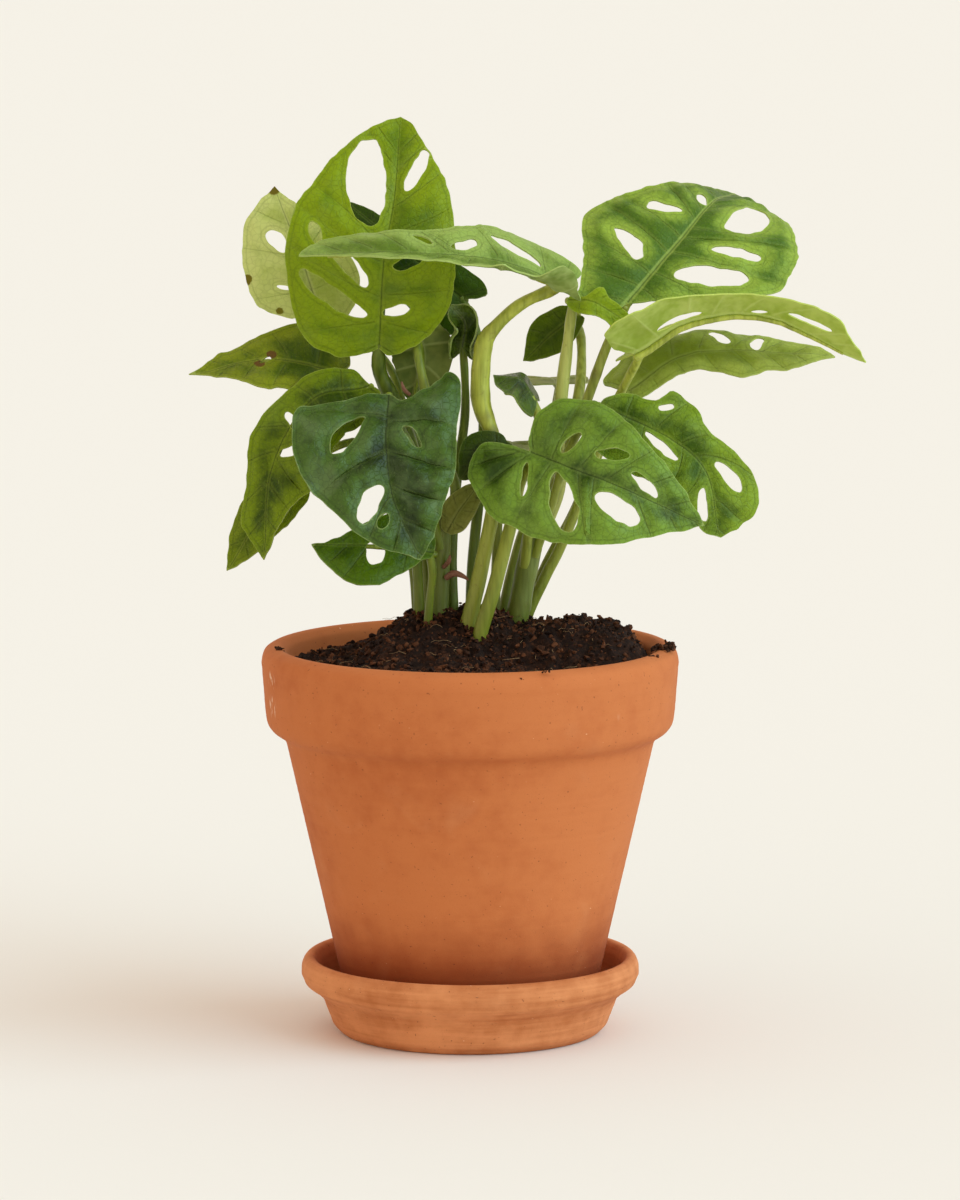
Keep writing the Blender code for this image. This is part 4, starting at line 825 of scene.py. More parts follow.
def clay_paint(name, light, deep, damp, turned):
    """Unglazed terracotta: mottling, level turning marks, pits, specks, worn pale patches and a damp foot."""
    paint = Paint(name)
    level = paint.stretched(0.05, 0.05, 1)
    marks = paint.mottle(1.3, 3, level) * 0.4 + paint.mottle(6, 2, level) * 0.6
    cloud = paint.mottle(55, 2, twist=0.3) * 0.6 + paint.mottle(7, 3) * 0.4
    burnt = paint.rise(marks * turned + cloud * 0.8, 0.36 + 0.3 * turned, 0.62 + 0.5 * turned)
    colour = paint.mix(burnt, linear(light), linear(deep))
    bloom = paint.rise(paint.mottle(24, 4, twist=0.6), 0.58, 0.8) * 0.14
    colour = paint.mix(bloom, colour, linear(CLAY_BLOOM))
    grain = paint.rise(paint.mottle(0.5, 1), 0.58, 0.75) * 0.10
    colour = paint.mix(grain, colour, linear(CLAY_GRAIN))
    specks = paint.rise(paint.mottle(0.9, 0), 0.80, 0.84) * 0.5
    colour = paint.mix(specks, colour, linear(CLAY_SPECK))
    chips = paint.rise(paint.mottle(1.5, 1, paint.stretched(1, 1, 1.7)), 0.80, 0.83) * 0.7
    colour = paint.mix(chips, colour, linear(CLAY_CHIP))
    foot = paint.rise(paint.height() + (paint.mottle(11, 3) - 0.5) * 16, damp + 22, damp - 8) * 0.9
    colour = paint.mix(foot, colour, paint.mix(1.0, colour, linear(CLAY_DAMP), "MULTIPLY"))
    scuffs = scuff_mask(paint)
    colour = paint.mix(scuffs, colour, linear(CLAY_SCUFF))
    height = marks * 0.35 + paint.mottle(0.45, 1) * 0.3 - specks * 0.9 + chips * 0.3
    roughness = 0.86 - bloom * 0.3 + (paint.mottle(5, 2) - 0.5) * 0.12
    return paint.finish(colour, roughness, height, 0.1 + 0.2 * turned, shine=0.25)


def scuff_mask(paint):
    """Pale scratched strokes on the left of the rim, and thinner ones near the shoulder."""
    strokes = paint.rise(paint.mottle(1.7, 3, paint.stretched(1, 1, 0.35)), 0.55, 0.64)
    upper = paint.near((-71, -24, 137), 2.5, 6)
    lower = paint.near((-72, -23, 127), 2.2, 6)
    right = paint.near((52, -53, 128), 0.5, 4) * 0.6
    return (upper + lower + right) * strokes * 0.85


def unit(vector):
    """The vector, or each row of vectors, at length 1."""
    vector = np.asarray(vector, float)
    return vector / np.linalg.norm(vector, axis=-1, keepdims=True)


def smooth(points, pieces, lead=0.0):
    """A Catmull-Rom curve through the points; lead is how far it keeps to the run of three at each end."""
    points = np.asarray(points, float)
    before = points[0] + lead * (points[0] - points[2])
    after = points[-1] + lead * (points[-1] - points[-3])
    ends = np.vstack([before, points, after])
    curve = []
    for before, start, end, after in zip(ends, ends[1:], ends[2:], ends[3:]):
        for u in np.arange(pieces) / pieces:
            curve.append(
                start
                + 0.5 * u * (end - before)
                + 0.5 * u**2 * (2 * before - 5 * start + 4 * end - after)
                + 0.5 * u**3 * (3 * start - before - 3 * end + after)
            )
    return np.array(curve + [points[-1]])


def reach_along(line):
    """How far along the line each of its points lies."""
    return np.concatenate([[0], np.cumsum(np.linalg.norm(np.diff(line[:, :3], axis=0), axis=1))])


def spaced(curve, step, fewest=2):
    """Points at even distances along the curve, about one step apart, with both ends kept."""
    lengths = reach_along(curve)
    count = max(fewest, round(lengths[-1] / step))
    wanted = np.linspace(0, lengths[-1], count + 1)
    return np.stack([np.interp(wanted, lengths, column) for column in curve.T], axis=1)


def soft_step(value, low, high):
    """0 at low, 1 at high and a soft step between, whichever of them is greater."""
    share = np.clip((np.asarray(value, float) - low) / (high - low), 0, 1)
    return share * share * (3 - 2 * share)


class Bend:
    """Carries a leaf's flat (s, t) to its place: along the spine, folded and curled across it."""

    def __init__(self, leaf):
        self.leaf = leaf
        self.line = smooth(leaf.spine, 16, lead=0.5)
        self.reach = reach_along(self.line)
        self.length = self.reach[-1]
        self.width = (max(t for _, t in leaf.left), max(t for _, t in leaf.right))

    def on_spine(self, s):
        """Place on the spine and its direction there, run straight on past both ends."""
        inside = np.clip(s, 0, self.length)
        span = 0.04 * self.length

        def at(value):
            """The spine's point at that length."""
            value = np.clip(value, 0, self.length)
            return np.stack([np.interp(value, self.reach, column) for column in self.line.T], axis=-1)

        along = unit(at(inside + span) - at(inside - span))
        return at(inside) + along * (s - inside)[..., None], along

    def angles(self, values, u, right):
        """Radians at u along a half of the leaf, from degrees as a pair or as base and tip pairs."""
        values = np.asarray(values, float)
        base, tip = (values, values) if values.ndim == 1 else values
        return np.radians(np.where(right, base[1] + (tip[1] - base[1]) * u, base[0] + (tip[0] - base[0]) * u))

    def point(self, s, t):
        """Where (s, t) of the flat leaf lies, in millimetres."""
        leaf = self.leaf
        origin, along = self.on_spine(s)
        u = np.clip(s / self.length, 0, 1)
        face = np.asarray(leaf.face, float)
        turn = np.asarray(leaf.face_tip or leaf.face, float) - face
        up = face + turn * u[..., None]
        up = unit(up - (up * along).sum(-1, keepdims=True) * along)
        across = np.cross(along, up)
        right = t >= 0
        fold = self.angles(leaf.fold, u, right)
        bend = self.angles(leaf.curl, u, right) / np.where(right, self.width[1], self.width[0])
        bend = np.where(np.abs(bend) < 1e-6, 1e-6, bend)
        reach = np.abs(t)
        out = (np.sin(fold) - np.sin(fold - bend * reach)) / bend
        lift = (np.cos(fold - bend * reach) - np.cos(fold)) / bend
        return origin + across * (np.where(right, 1, -1) * out)[..., None] + up * lift[..., None]

    def normal(self, s, t):
        """The direction out of the upper side."""
        step = 0.2
        ds = self.point(s + step, t) - self.point(s - step, t)
        dt = self.point(s, t + step) - self.point(s, t - step)
        return unit(np.cross(dt, ds))


def hole_loop(hole, step, grow=0.0):
    """A drop-shaped loop between two ends, with a bulge on each side and its belly along the way."""
    start = np.array(hole[0:2], float)
    end = np.array(hole[2:4], float)
    direction = unit(end - start)
    start, end = start - grow * direction, end + grow * direction
    bulges = hole[4] + grow, hole[5] + grow
    belly = hole[6] if len(hole) > 6 else 0.5
    reach = np.linalg.norm(end - start)
    count = max(7, round((2 * reach + bulges[0] + bulges[1]) / step))
    angle = 2 * math.pi * np.arange(count) / count
    along = (0.5 - 0.5 * np.cos(angle)) ** (math.log(belly) / math.log(0.5))
    aside = np.array([-direction[1], direction[0]])
    rise = np.sign(np.sin(angle)) * np.abs(np.sin(angle)) ** 0.85 * np.where(np.sin(angle) > 0, *bulges)
    return start + along[:, None] * reach * direction + rise[:, None] * aside


def inside(points, loop):
    """Which of the points lie inside the closed loop."""
    x, y = points[:, 0:1], points[:, 1:2]
    ax, ay = loop[:, 0], loop[:, 1]
    bx, by = np.roll(ax, -1), np.roll(ay, -1)
    spans = (ay > y) != (by > y)
    rise = np.where(by == ay, 1, by - ay)
    return (spans & (x < (bx - ax) * (y - ay) / rise + ax)).sum(axis=1) % 2 == 1


def distances(points, others):
    """How far each point is from the nearest of the others."""
    tree = KDTree(len(others))
    for index, (s, t) in enumerate(others):
        tree.insert((s, t, 0), index)
    tree.balance()
    return np.array([tree.find((s, t, 0))[2] for s, t in points])


class Veins:
    """The side veins of half a leaf: each row is a start on the midrib, a lean to the tip and a bow."""

    def __init__(self, length, span, side, holes):
        count = max(5, round(length / VEIN_SPACING))
        rows = [(-45.0, -3.5, 0.0), (-1.0, -2.4, 0.0), (-0.5, -1.3, 0.0)]
        for index in range(count):
            u = index / (count - 1)
            row = (length * (0.02 + 0.93 * u**1.1), -0.55 + 2.0 * u**0.8, 0.012 * (u - 0.2))
            rows.append(self.clear_of_holes(row, length / count, span, side, holes))
        rows.append((length + 45.0, 2.0, 0.0))
        self.rows = np.array(rows)
        self.side = side
        self.span = span

    @staticmethod
    def along(row, t):
        """How far towards the tip the vein lies, t out from the midrib."""
        start, lean, bow = row
        return start + lean * t + bow * t * t

    def clear_of_holes(self, row, spacing, span, side, holes):
        """The row, shifted and turned a little to where it crosses the fewest holes."""
        t = np.arange(2.0, span, 1.5)
        best = None
        for shift in np.linspace(-0.42, 0.42, 9) * spacing:
            for turn in np.linspace(-0.3, 0.3, 5):
                moved = (row[0] + shift, row[1] + turn, row[2])
                points = np.stack([self.along(moved, t), t * side], axis=1)
                crossed = sum(inside(points, hole).sum() for hole in holes)
                cost = crossed + 0.1 * abs(shift) + 1.2 * abs(turn)
                if best is None or cost < best[0]:
                    best = (cost, moved)
        return best[1]

    def chains(self):
        """Each vein as (s, t) points from the midrib outwards."""
        t = np.arange(VEIN_STEP, self.span, VEIN_STEP)
        return [np.stack([self.along(row, t), t * self.side], axis=1) for row in self.rows[1:-1]]

    def phase(self, s, t):
        """Share of the way between two veins, the distance to the nearer one, and the count of veins."""
        lines = np.array([self.along(row, t) for row in self.rows])
        lines = np.maximum.accumulate(lines, axis=0) + 1e-3 * np.arange(len(lines))[:, None]
        index = np.clip((lines <= s).sum(axis=0) - 1, 0, len(lines) - 2)
        low = np.take_along_axis(lines, index[None], axis=0)[0]
        high = np.take_along_axis(lines, index[None] + 1, axis=0)[0]
        share = np.clip((s - low) / (high - low), 0, 1)
        lean = self.rows[index, 1] + (self.rows[index + 1, 1] - self.rows[index, 1]) * share
        away = np.minimum(share, 1 - share) * (high - low) / np.hypot(1, lean)
        return share, away, index + share


def uneven(loop, amount, seed):
    """The loop with slow small swerves, as a grown edge has."""
    drift = []
    for s, t in loop:
        drift.append([noise.noise(Vector((s / 4, t / 4, level))) for level in (seed, seed + 9)])
    return loop + amount * np.array(drift)


def vein_chains(length, veins):
    """Lines that lie on triangle edges: along the midrib and its groove, then out along the side veins."""
    along_rib = np.arange(0.8, length - 1.0, VEIN_STEP)
    chains = []
    for offset in MIDRIB_EDGES:
        for side in (1, -1) if offset else (1,):
            chains.append(np.stack([along_rib, np.full(len(along_rib), offset * side)], axis=1))
    for half in veins:
        chains += half.chains()
    return chains


def filling_grid(outline):
    """Staggered rows of points over the outline's box."""
    low, high = outline.min(axis=0), outline.max(axis=0)
    grid = []
    for index, s in enumerate(np.arange(low[0], high[0], BLADE_CELL * GRID_ROW)):
        for t in np.arange(low[1], high[1], BLADE_CELL) + (index % 2) * BLADE_CELL / 2:
            grid.append((s, t))
    return np.array(grid)


def flat_blade(leaf, length):
    """The flat blade, holes cut and veins on triangle edges: points, triangles, veins, edge distances."""
    sides = []
    for margin in (leaf.right, leaf.left):
        sides.append(spaced(smooth([(0, 0), *margin, (length, 0)], 10), MARGIN_STEP))
    outline = uneven(np.vstack([sides[0], (sides[1] * (1, -1))[::-1][1:-1]]), 0.7, 2.6)
    holes = [uneven(hole_loop(hole, HOLE_STEP), 0.22 * min(4, hole[4] + hole[5]), 5.3) for hole in leaf.holes]
    loops = [outline, *holes]
    border = np.vstack(loops)
    dense = np.vstack([spaced(np.vstack([loop, loop[:1]]), 0.3) for loop in loops])
    wide = [hole_loop(hole, HOLE_STEP, 0.8) for hole in leaf.holes]
    spans = [max(t for _, t in margin) for margin in (leaf.right, leaf.left)]
    veins = [Veins(length, span, side, wide) for span, side in zip(spans, (1, -1))]

    def on_blade(points):
        """Which points lie inside the margin and outside every hole."""
        keep = inside(points, outline)
        for hole in holes:
            keep &= ~inside(points, hole)
        return keep

    points = list(border)
    edges = []
    start = 0
    for loop in loops:
        count = len(loop)
        edges += [(start + i, start + (i + 1) % count) for i in range(count)]
        start += count
    taken = border
    for number, chain in enumerate(vein_chains(length, veins)):
        keep = on_blade(chain) & (distances(chain, dense) > EDGE_CLEARANCE)
        if number >= len(MIDRIB_EDGES) * 2 - 1:
            keep &= np.abs(chain[:, 1]) > MIDRIB_EDGES[-1] + 0.3
        if not keep.any():
            continue
        keep[keep] &= distances(chain[keep], taken) > LINE_CLEARANCE
        kept = np.flatnonzero(keep)
        for place, index in enumerate(kept):
            points.append(chain[index])
            if place and kept[place - 1] == index - 1:
                edges.append((len(points) - 2, len(points) - 1))
        taken = np.array(points)
    grid = filling_grid(outline)
    grid = grid[on_blade(grid)]
    grid = grid[distances(grid, np.array(points)) > GRID_CLEARANCE * BLADE_CELL]
    points = np.vstack([points, grid])
    flat, _, faces, *_ = delaunay_2d_cdt([Vector(p) for p in points], edges, [], 1, 1e-5)
    flat = np.array([tuple(p) for p in flat])
    faces = np.array(faces)
    faces = faces[on_blade(flat[faces].mean(axis=1))]
    return flat, faces, veins, distances(flat, dense)


def relief(leaf, look, length, s, t, share, edge):
    """Millimetres of surface over the bent sheet: midrib groove, swollen fields and slow ripples."""
    groove = -0.6 * np.exp(-((t / 1.3) ** 2)) * soft_step(s, length, 0.6 * length)
    field = np.sin(math.pi * share) ** 0.8 * soft_step(np.abs(t), 0.5, 8)
    field = field * (0.25 + 0.75 * soft_step(edge, 0, 6))
    seed = sum(map(ord, leaf.name)) * 0.37

    def swerve(size):
        """Slow noise over the leaf, in patches of about size millimetres."""
        return np.array([noise.noise(Vector((a / size, b / size, seed))) for a, b in zip(s, t)])

    slow = swerve(17) + 0.4 * swerve(7)
    spread = 0.3 + 0.7 * soft_step(np.abs(t), 2, 18)
    return groove + look.swell * field + look.ripple * slow * spread + 0.25 * look.swell * swerve(3.4)


def linked(name, data):
    """A new object in the scene."""
    made = bpy.data.objects.new(name, data)
    bpy.context.scene.collection.objects.link(made)
    return made


def mesh_of(shape, name):
    """The shape as a mesh, and its bmesh freed."""
    mesh = bpy.data.meshes.new(name)
    shape.to_mesh(mesh)
    shape.free()
    return mesh


def scale_to_metres(shape):
    """Turns the faces outwards and brings millimetres to metres."""
    bmesh.ops.recalc_face_normals(shape, faces=shape.faces)
    bmesh.ops.scale(shape, vec=(MM, MM, MM), verts=shape.verts)


def smooth_piece(mesh, name, paint, angle=None):
    """An object from the mesh, shaded smooth, up to the angle in degrees where there is one."""
    mesh.shade_smooth()
    if angle:
        mesh.set_sharp_from_angle(angle=math.radians(angle))
    mesh.materials.append(paint)
    return linked(name, mesh)


def add_mesh(name, points, faces, paints, values):
    """An object at the origin from points in millimetres, with named values on its points."""
    mesh = bpy.data.meshes.new(name)
    mesh.from_pydata((np.asarray(points) * MM).tolist(), [], [tuple(int(i) for i in face) for face in faces])
    for key, numbers in values.items():
        layer = mesh.attributes.new(key, "FLOAT", "POINT")
        layer.data.foreach_set("value", np.asarray(numbers, np.float32))
    for paint in paints:
        mesh.materials.append(paint)
    return linked(name, mesh)


def settle(piece, angle):
    """Bakes the piece's modifiers into its mesh and shades it smooth up to the angle."""
    graph = bpy.context.evaluated_depsgraph_get()
    mesh = bpy.data.meshes.new_from_object(piece.evaluated_get(graph))
    piece.modifiers.clear()
    piece.data = mesh
    mesh.shade_smooth()
    mesh.set_sharp_from_angle(angle=math.radians(angle))


def seat(piece, slot, *nodes):
    """Hands the piece to the frame: it rides the only body and stands for its CAD nodes."""
    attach(piece, "root")
    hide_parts(*nodes)


def make_blade(leaf):
    """One leaf's blade: the flat blade bent, given its relief and its thickness."""
    look = LOOKS[leaf.name]
    bend = Bend(leaf)
    flat, faces, veins, edge = flat_blade(leaf, bend.length)
    s, t = flat.T
    right = t >= 0
    both = [half.phase(s, np.abs(t)) for half in veins]
    share, vein, row = (np.where(right, *pair) for pair in zip(*both))
    vein = vein + 0.012 * np.abs(t)
    height = relief(leaf, look, bend.length, s, t, share, edge)
    middle = bend.point(s, t)
    upper = bend.normal(s, t)
    corners = middle[faces]
    facing = np.cross(corners[:, 1] - corners[:, 0], corners[:, 2] - corners[:, 0])
    turned = (facing * upper[faces[:, 0]]).sum(axis=1) < 0
    faces[turned] = faces[turned][:, ::-1]
    scar = np.zeros(len(s))
    for centre_s, centre_t, radius in look.spots:
        away = np.hypot(s - centre_s, t - centre_t)
        scar = np.maximum(scar, 1 - soft_step(away, 0.5 * radius, 1.5 * radius))
    taper = 1.35 - 0.85 * np.clip(s / bend.length, 0, 1)
    values = {"rib": np.abs(t) / taper, "across": t, "vein": vein, "row": row, "edge": edge, "scar": scar}
    paints = (leaf_paint(leaf.name, look), underside_paint(leaf.name, look))
    piece = add_mesh(f"leaf_{leaf.name}", middle + upper * height[:, None], faces, paints, values)
    shell = piece.modifiers.new("thickness", "SOLIDIFY")
    shell.thickness = BLADE_THICKNESS * MM
    shell.offset = 0
    shell.material_offset = 1
    settle(piece, LEAF_SHARP)
    seat(piece, f"leaf_{leaf.name}", f"blade_{leaf.name}")


def centre_at(line, height):
    """Centre and radius where a rising line passes the height."""
    return np.array([np.interp(height, line[:, 2], column) for column in line.T])


def stem_curve(points):
    """Evenly spaced rows of a stem's centre line and radius."""
    return spaced(smooth(points, CURVE_PIECES), STALK_STEP, FEWEST_RINGS)


def stalk_line(leaf, carriers):
    """The stalk's centre line, from the soil or its carrier to its seat under the blade."""
    points = [tuple(point) for point in leaf.stalk]
    if leaf.carrier:
        carrier, height, bearing, radius = leaf.carrier
        x, y, z, thick = centre_at(carriers[carrier], height)
        away = thick * CARRIER_REACH
        bearing = math.radians(bearing)
        start = (x + away * math.cos(bearing), y + away * math.sin(bearing), z - 2, radius)
        points.insert(0, start)
    else:
        x, y, _, radius = points[0]
        points.insert(0, (x, y, ROOTED_DEPTH, radius * STALK_ROOT_TAPER))
    bend = Bend(leaf)
    seat_s = np.array([SEAT_PLACE])
    place = bend.point(seat_s, np.zeros(1))[0]
    under = -bend.normal(seat_s, np.zeros(1))[0]
    arrival = unit(place - np.array(points[-1][:3]))
    spread = leaf.stalk_tip * math.sqrt(max(0.0, 1 - (arrival @ under) ** 2))
    end = place + under * (SEAT_THICKNESS / 2 + 0.75 * spread)
    points.append((*end, leaf.stalk_tip))
    return stem_curve(points)


def rib_line(leaf):
    """The raised midrib under the blade, from its base to near its tip."""
    bend = Bend(leaf)
    s = np.arange(-0.5, bend.length * 0.9, 2.0)
    u = np.clip(s / bend.length, 0, 1)
    radius = leaf.stalk_tip * 0.72 * (1 - u) ** 0.8 + 0.28
    still = np.zeros(len(s))
    flat = relief(leaf, LOOKS[leaf.name], bend.length, s, still, still, still + 9)
    lift = flat - BLADE_THICKNESS / 2 - 0.8 * radius
    centres = bend.point(s, still) + bend.normal(s, still) * lift[:, None]
    return np.column_stack([centres, radius])


def ring_frames(line):
    """A placing matrix for each ring of a rod, turned as little as possible from one to the next."""
    centres, radii = line[:, :3], line[:, 3]
    along = unit(np.gradient(centres, axis=0))
    across = unit(np.cross(along[0], (0.3, 1, 0)))
    frames = []
    for centre, radius, direction in zip(centres, radii, along):
        across = unit(across - direction * (across @ direction))
        other = np.cross(direction, across)
        turns = np.stack([across, other, direction], axis=1)
        frame = Matrix([*((*row, place) for row, place in zip(turns, centre)), (0, 0, 0, 1)])
        frames.append(frame @ Matrix.Diagonal((radius, radius, radius, 1)))
    return frames


def extrude_rings(shape, line, sides):
    """Extrudes a ring along (x, y, z, radius) rows and closes its ends: the vertices of each ring."""
    frames = ring_frames(line)
    circle = bmesh.ops.create_circle(shape, cap_ends=False, segments=sides, radius=1, matrix=frames[0])
    verts = circle["verts"]
    edges = list({edge for vert in verts for edge in vert.link_edges})
    first = edges
    rings = [verts]
    for before, after in zip(frames, frames[1:]):
        grown = bmesh.ops.extrude_edge_only(shape, edges=edges)["geom"]
        verts = [part for part in grown if isinstance(part, bmesh.types.BMVert)]
        edges = [part for part in grown if isinstance(part, bmesh.types.BMEdge)]
        bmesh.ops.transform(shape, matrix=after @ before.inverted(), verts=verts)
        rings.append(verts)
    bmesh.ops.holes_fill(shape, edges=first + edges, sides=sides)
    return rings


def add_rod(shape, line, sides, marks=(), bud=0.0):
    """A closed rod along (x, y, z, radius) rows; marks are heights of ring scars."""
    ring_layer = shape.verts.layers.float["ring"]
    bud_layer = shape.verts.layers.float["bud"]
    for ring, height in zip(extrude_rings(shape, line, sides), line[:, 2]):
        worn = max([math.exp(-(((height - mark) / 0.8) ** 2)) for mark in marks], default=0.0)
        for vert in ring:
            vert[ring_layer] = worn
            vert[bud_layer] = bud


def tapered_ends(line, low=False):
    """The line with a rounded upper end, and a rounded lower end if low."""
    ends = []
    for index, inner in ((-1, -2), (0, 1)):
        run = unit(line[index, :3] - line[inner, :3])
        radius = line[index, 3]
        rows = []
        for turn in (30, 55, 75):
            turn = math.radians(turn)
            rows.append((*(line[index, :3] + run * radius * 0.6 * math.sin(turn)), radius * math.cos(turn)))
        ends.append(np.array(rows))
    parts = [line, ends[0]]
    if low:
        parts.insert(0, ends[1][::-1])
    return np.vstack(parts)


def skinned(line, name, swollen):
    """The line with uneven radii that swell at ring scars, and at a knuckle below the leaf if swollen."""
    line = line.copy()
    reach = reach_along(line)
    left = reach[-1] - reach
    radius = line[:, 3]
    if swollen:
        knuckle = 0.14 * np.exp(-(((left - 7) / 4.5) ** 2))
        waist = 0.08 * np.exp(-(((left - 15) / 4) ** 2))
        radius = radius * (1 + knuckle - waist)
    seed = sum(map(ord, name)) * 0.21
    radius = radius * (1 + 0.05 * np.array([noise.noise(Vector((r / 9, seed, 0))) for r in reach]))
    for mark in RING_SCARS.get(name, ()):
        radius = radius * (1 + 0.07 * np.exp(-(((line[:, 2] - mark) / 1.6) ** 2)))
    line[:, 3] = radius
    return line


def make_stem(name, node, line, colour, leaf=None):
    """One stalk or cane with its buds, and for a stalk the rib that runs on under its leaf."""
    shape = bmesh.new()
    for key in ("ring", "bud"):
        shape.verts.layers.float.new(key)
    marks = RING_SCARS.get(name, ())
    body = skinned(line, name, leaf is not None)
    if leaf is None:
        body = tapered_ends(body)
    add_rod(shape, body, STALK_SIDES, marks)
    if leaf:
        add_rod(shape, tapered_ends(rib_line(leaf), low=True), RIB_SIDES)
    for bud in BUDS.get(name, ()):
        add_rod(shape, spaced(smooth(bud, 6), BUD_STEP), BUD_SIDES, bud=1.0)
    scale_to_metres(shape)
    piece = smooth_piece(mesh_of(shape, node), f"fine_{node}", stem_paint(name, colour), STEM_SHARP)
    seat(piece, "stalk", node)


def make_stems():
    """The canes, then the stalks that stand in the soil, then those on a cane or another stalk."""
    lines = {}
    for name, points in CANES.items():
        x, y, _, radius = points[0]
        lines[name] = stem_curve([(x, y, ROOTED_DEPTH, radius * CANE_ROOT_TAPER), *points])
        make_stem(name, name, lines[name], CANE_COLOURS[name])
    for leaf in sorted(LEAVES, key=lambda one: bool(one.carrier)):
        node = f"stalk_{leaf.name}"
        lines[node] = stalk_line(leaf, lines)
        make_stem(leaf.name, node, lines[node], LOOKS[leaf.name].stalk, leaf)


def pot_inner_radius(height):
    """Radius of the pot's inner wall."""
    foot = POT_FOOT_RADIUS - POT_WALL
    top = POT_RIM_RADIUS - POT_MOUTH_INSET
    return foot + (top - foot) * (height - POT_FLOOR) / (POT_HEIGHT - POT_FLOOR)


def worn_profile(rows, softness):
    """The profile sampled finely, corners rounded over softness millimetres, with faint turning ridges."""
    step = 0.7
    line = spaced(np.array(rows, float), step)
    window = max(1, round(softness / step))
    weights = np.hanning(2 * window + 3)[1:-1]
    weights /= weights.sum()
    padded = np.vstack([np.repeat(line[:1], window, axis=0), line, np.repeat(line[-1:], window, axis=0)])
    soft = np.stack([np.convolve(column, weights, mode="valid") for column in padded.T], axis=1)
    soft[0], soft[-1] = line[0], line[-1]
    for row in soft[1:-1]:
        row[0] += 0.10 * noise.noise(Vector((row[1] / 1.6, row[0] / 30, 2.2)))
    return soft


def spin_profile(shape, rows, steps, merge, closed=False):
    """Spins (radius, height) rows once round the upright axis and merges points nearer than merge."""
    ring = [shape.verts.new((radius, 0, height)) for radius, height in rows]
    pairs = zip(ring, ring[1:] + ring[:1]) if closed else zip(ring, ring[1:])
    edges = [shape.edges.new(pair) for pair in pairs]
    turn = {"cent": (0, 0, 0), "axis": (0, 0, 1), "angle": math.tau}
    bmesh.ops.spin(shape, geom=ring + edges, **turn, steps=steps, use_merge=True)
    bmesh.ops.remove_doubles(shape, verts=shape.verts, dist=merge)


def make_turned(name, node, rows, paint, closed_ring):
    """A turned clay piece from its (radius, height) profile."""
    shape = bmesh.new()
    metres = [(radius * MM, height * MM) for radius, height in rows]
    spin_profile(shape, metres, TURNED_STEPS, MERGE * MM, closed_ring)
    bmesh.ops.recalc_face_normals(shape, faces=shape.faces)
    seat(smooth_piece(mesh_of(shape, name), name, paint), "terracotta", node)


def make_pot():
    """The pot: a tapering body, a tall rim band, a rounded lip and a drain hole."""
    inset, rounding = POT_CORNER
    mouth = POT_HEIGHT - MOUTH_DROP
    rows = (
        (DRAIN_RADIUS, POT_FOOT),
        (POT_FOOT_RADIUS - FOOT_CHAMFER, POT_FOOT),
        (POT_FOOT_RADIUS, POT_FOOT + FOOT_CHAMFER),
        (POT_SHOULDER_RADIUS, POT_SHOULDER - 0.5),
        (POT_SHOULDER_RADIUS + 1.5, POT_SHOULDER + 1.5),
        *((POT_RIM_RADIUS - inward, POT_SHOULDER + up) for inward, up in POT_BAND),
        *((POT_RIM_RADIUS - inward, POT_HEIGHT - down) for inward, down in POT_LIP),
        (pot_inner_radius(mouth), mouth),
        (pot_inner_radius(POT_FLOOR + rounding), POT_FLOOR + rounding),
        (pot_inner_radius(POT_FLOOR) - inset, POT_FLOOR),
        (DRAIN_RADIUS, POT_FLOOR),
    )
    paint = clay_paint("pot_clay", *POT_CLAY, 34, 0.12)
    make_turned("turned_pot", "pot", worn_profile(rows, 1.6), paint, True)


def make_saucer():
    """The saucer, with fine grooves round its lip."""
    wall = [(SAUCER_LIP_RADIUS - inward, height) for inward, height in (*SAUCER_OUTSIDE, *SAUCER_INSIDE)]
    profile = worn_profile(((0, 0), (SAUCER_BASE_RADIUS, 0), *wall, (0, SAUCER_FLOOR)), 1.4)
    low, high, depth, spacing = LIP_GROOVES
    for row in profile:
        if low < row[1] < high and row[0] > SAUCER_LIP_RADIUS - 3:
            row[0] += depth * math.sin(math.tau * row[1] / spacing)
    paint = clay_paint("saucer_clay", *SAUCER_CLAY, -30, 0.6)
    make_turned("turned_saucer", "saucer", profile, paint, False)


def lumps(x, y, rows):
    """Height of soft lumps, from rows of height, size and seed."""
    return sum(rise * noise.noise(Vector((x / size, y / size, seed))) for rise, size, seed in rows)


def soil_height(x, y):
    """Height of the mounded soil's surface, lumpy and highest round the stems."""
    height, (cx, cy), (rx, ry) = SOIL_CROWN
    crown = height * math.exp(-(((x - cx) / rx) ** 4) - ((y - cy) / ry) ** 2)
    height, (cx, cy), (rx, ry) = SOIL_SHELF
    shelf = height * math.exp(-(((x - cx) / rx) ** 6) - ((y - cy) / ry) ** 4)
    height, cy, ry = SOIL_FRONT
    front = height * math.exp(-(((y - cy) / ry) ** 2))
    return SOIL_EDGE + max(crown, shelf) + front + lumps(x, y, SOIL_LUMPS)


def crumbly_height(x, y):
    """The soil's surface with its fine lumps."""
    clods = 2.4 * abs(noise.noise(Vector((x / 5.5, y / 5.5, 9.3)))) - 0.8
    return soil_height(x, y) + clods + lumps(x, y, SOIL_CRUMBLE)


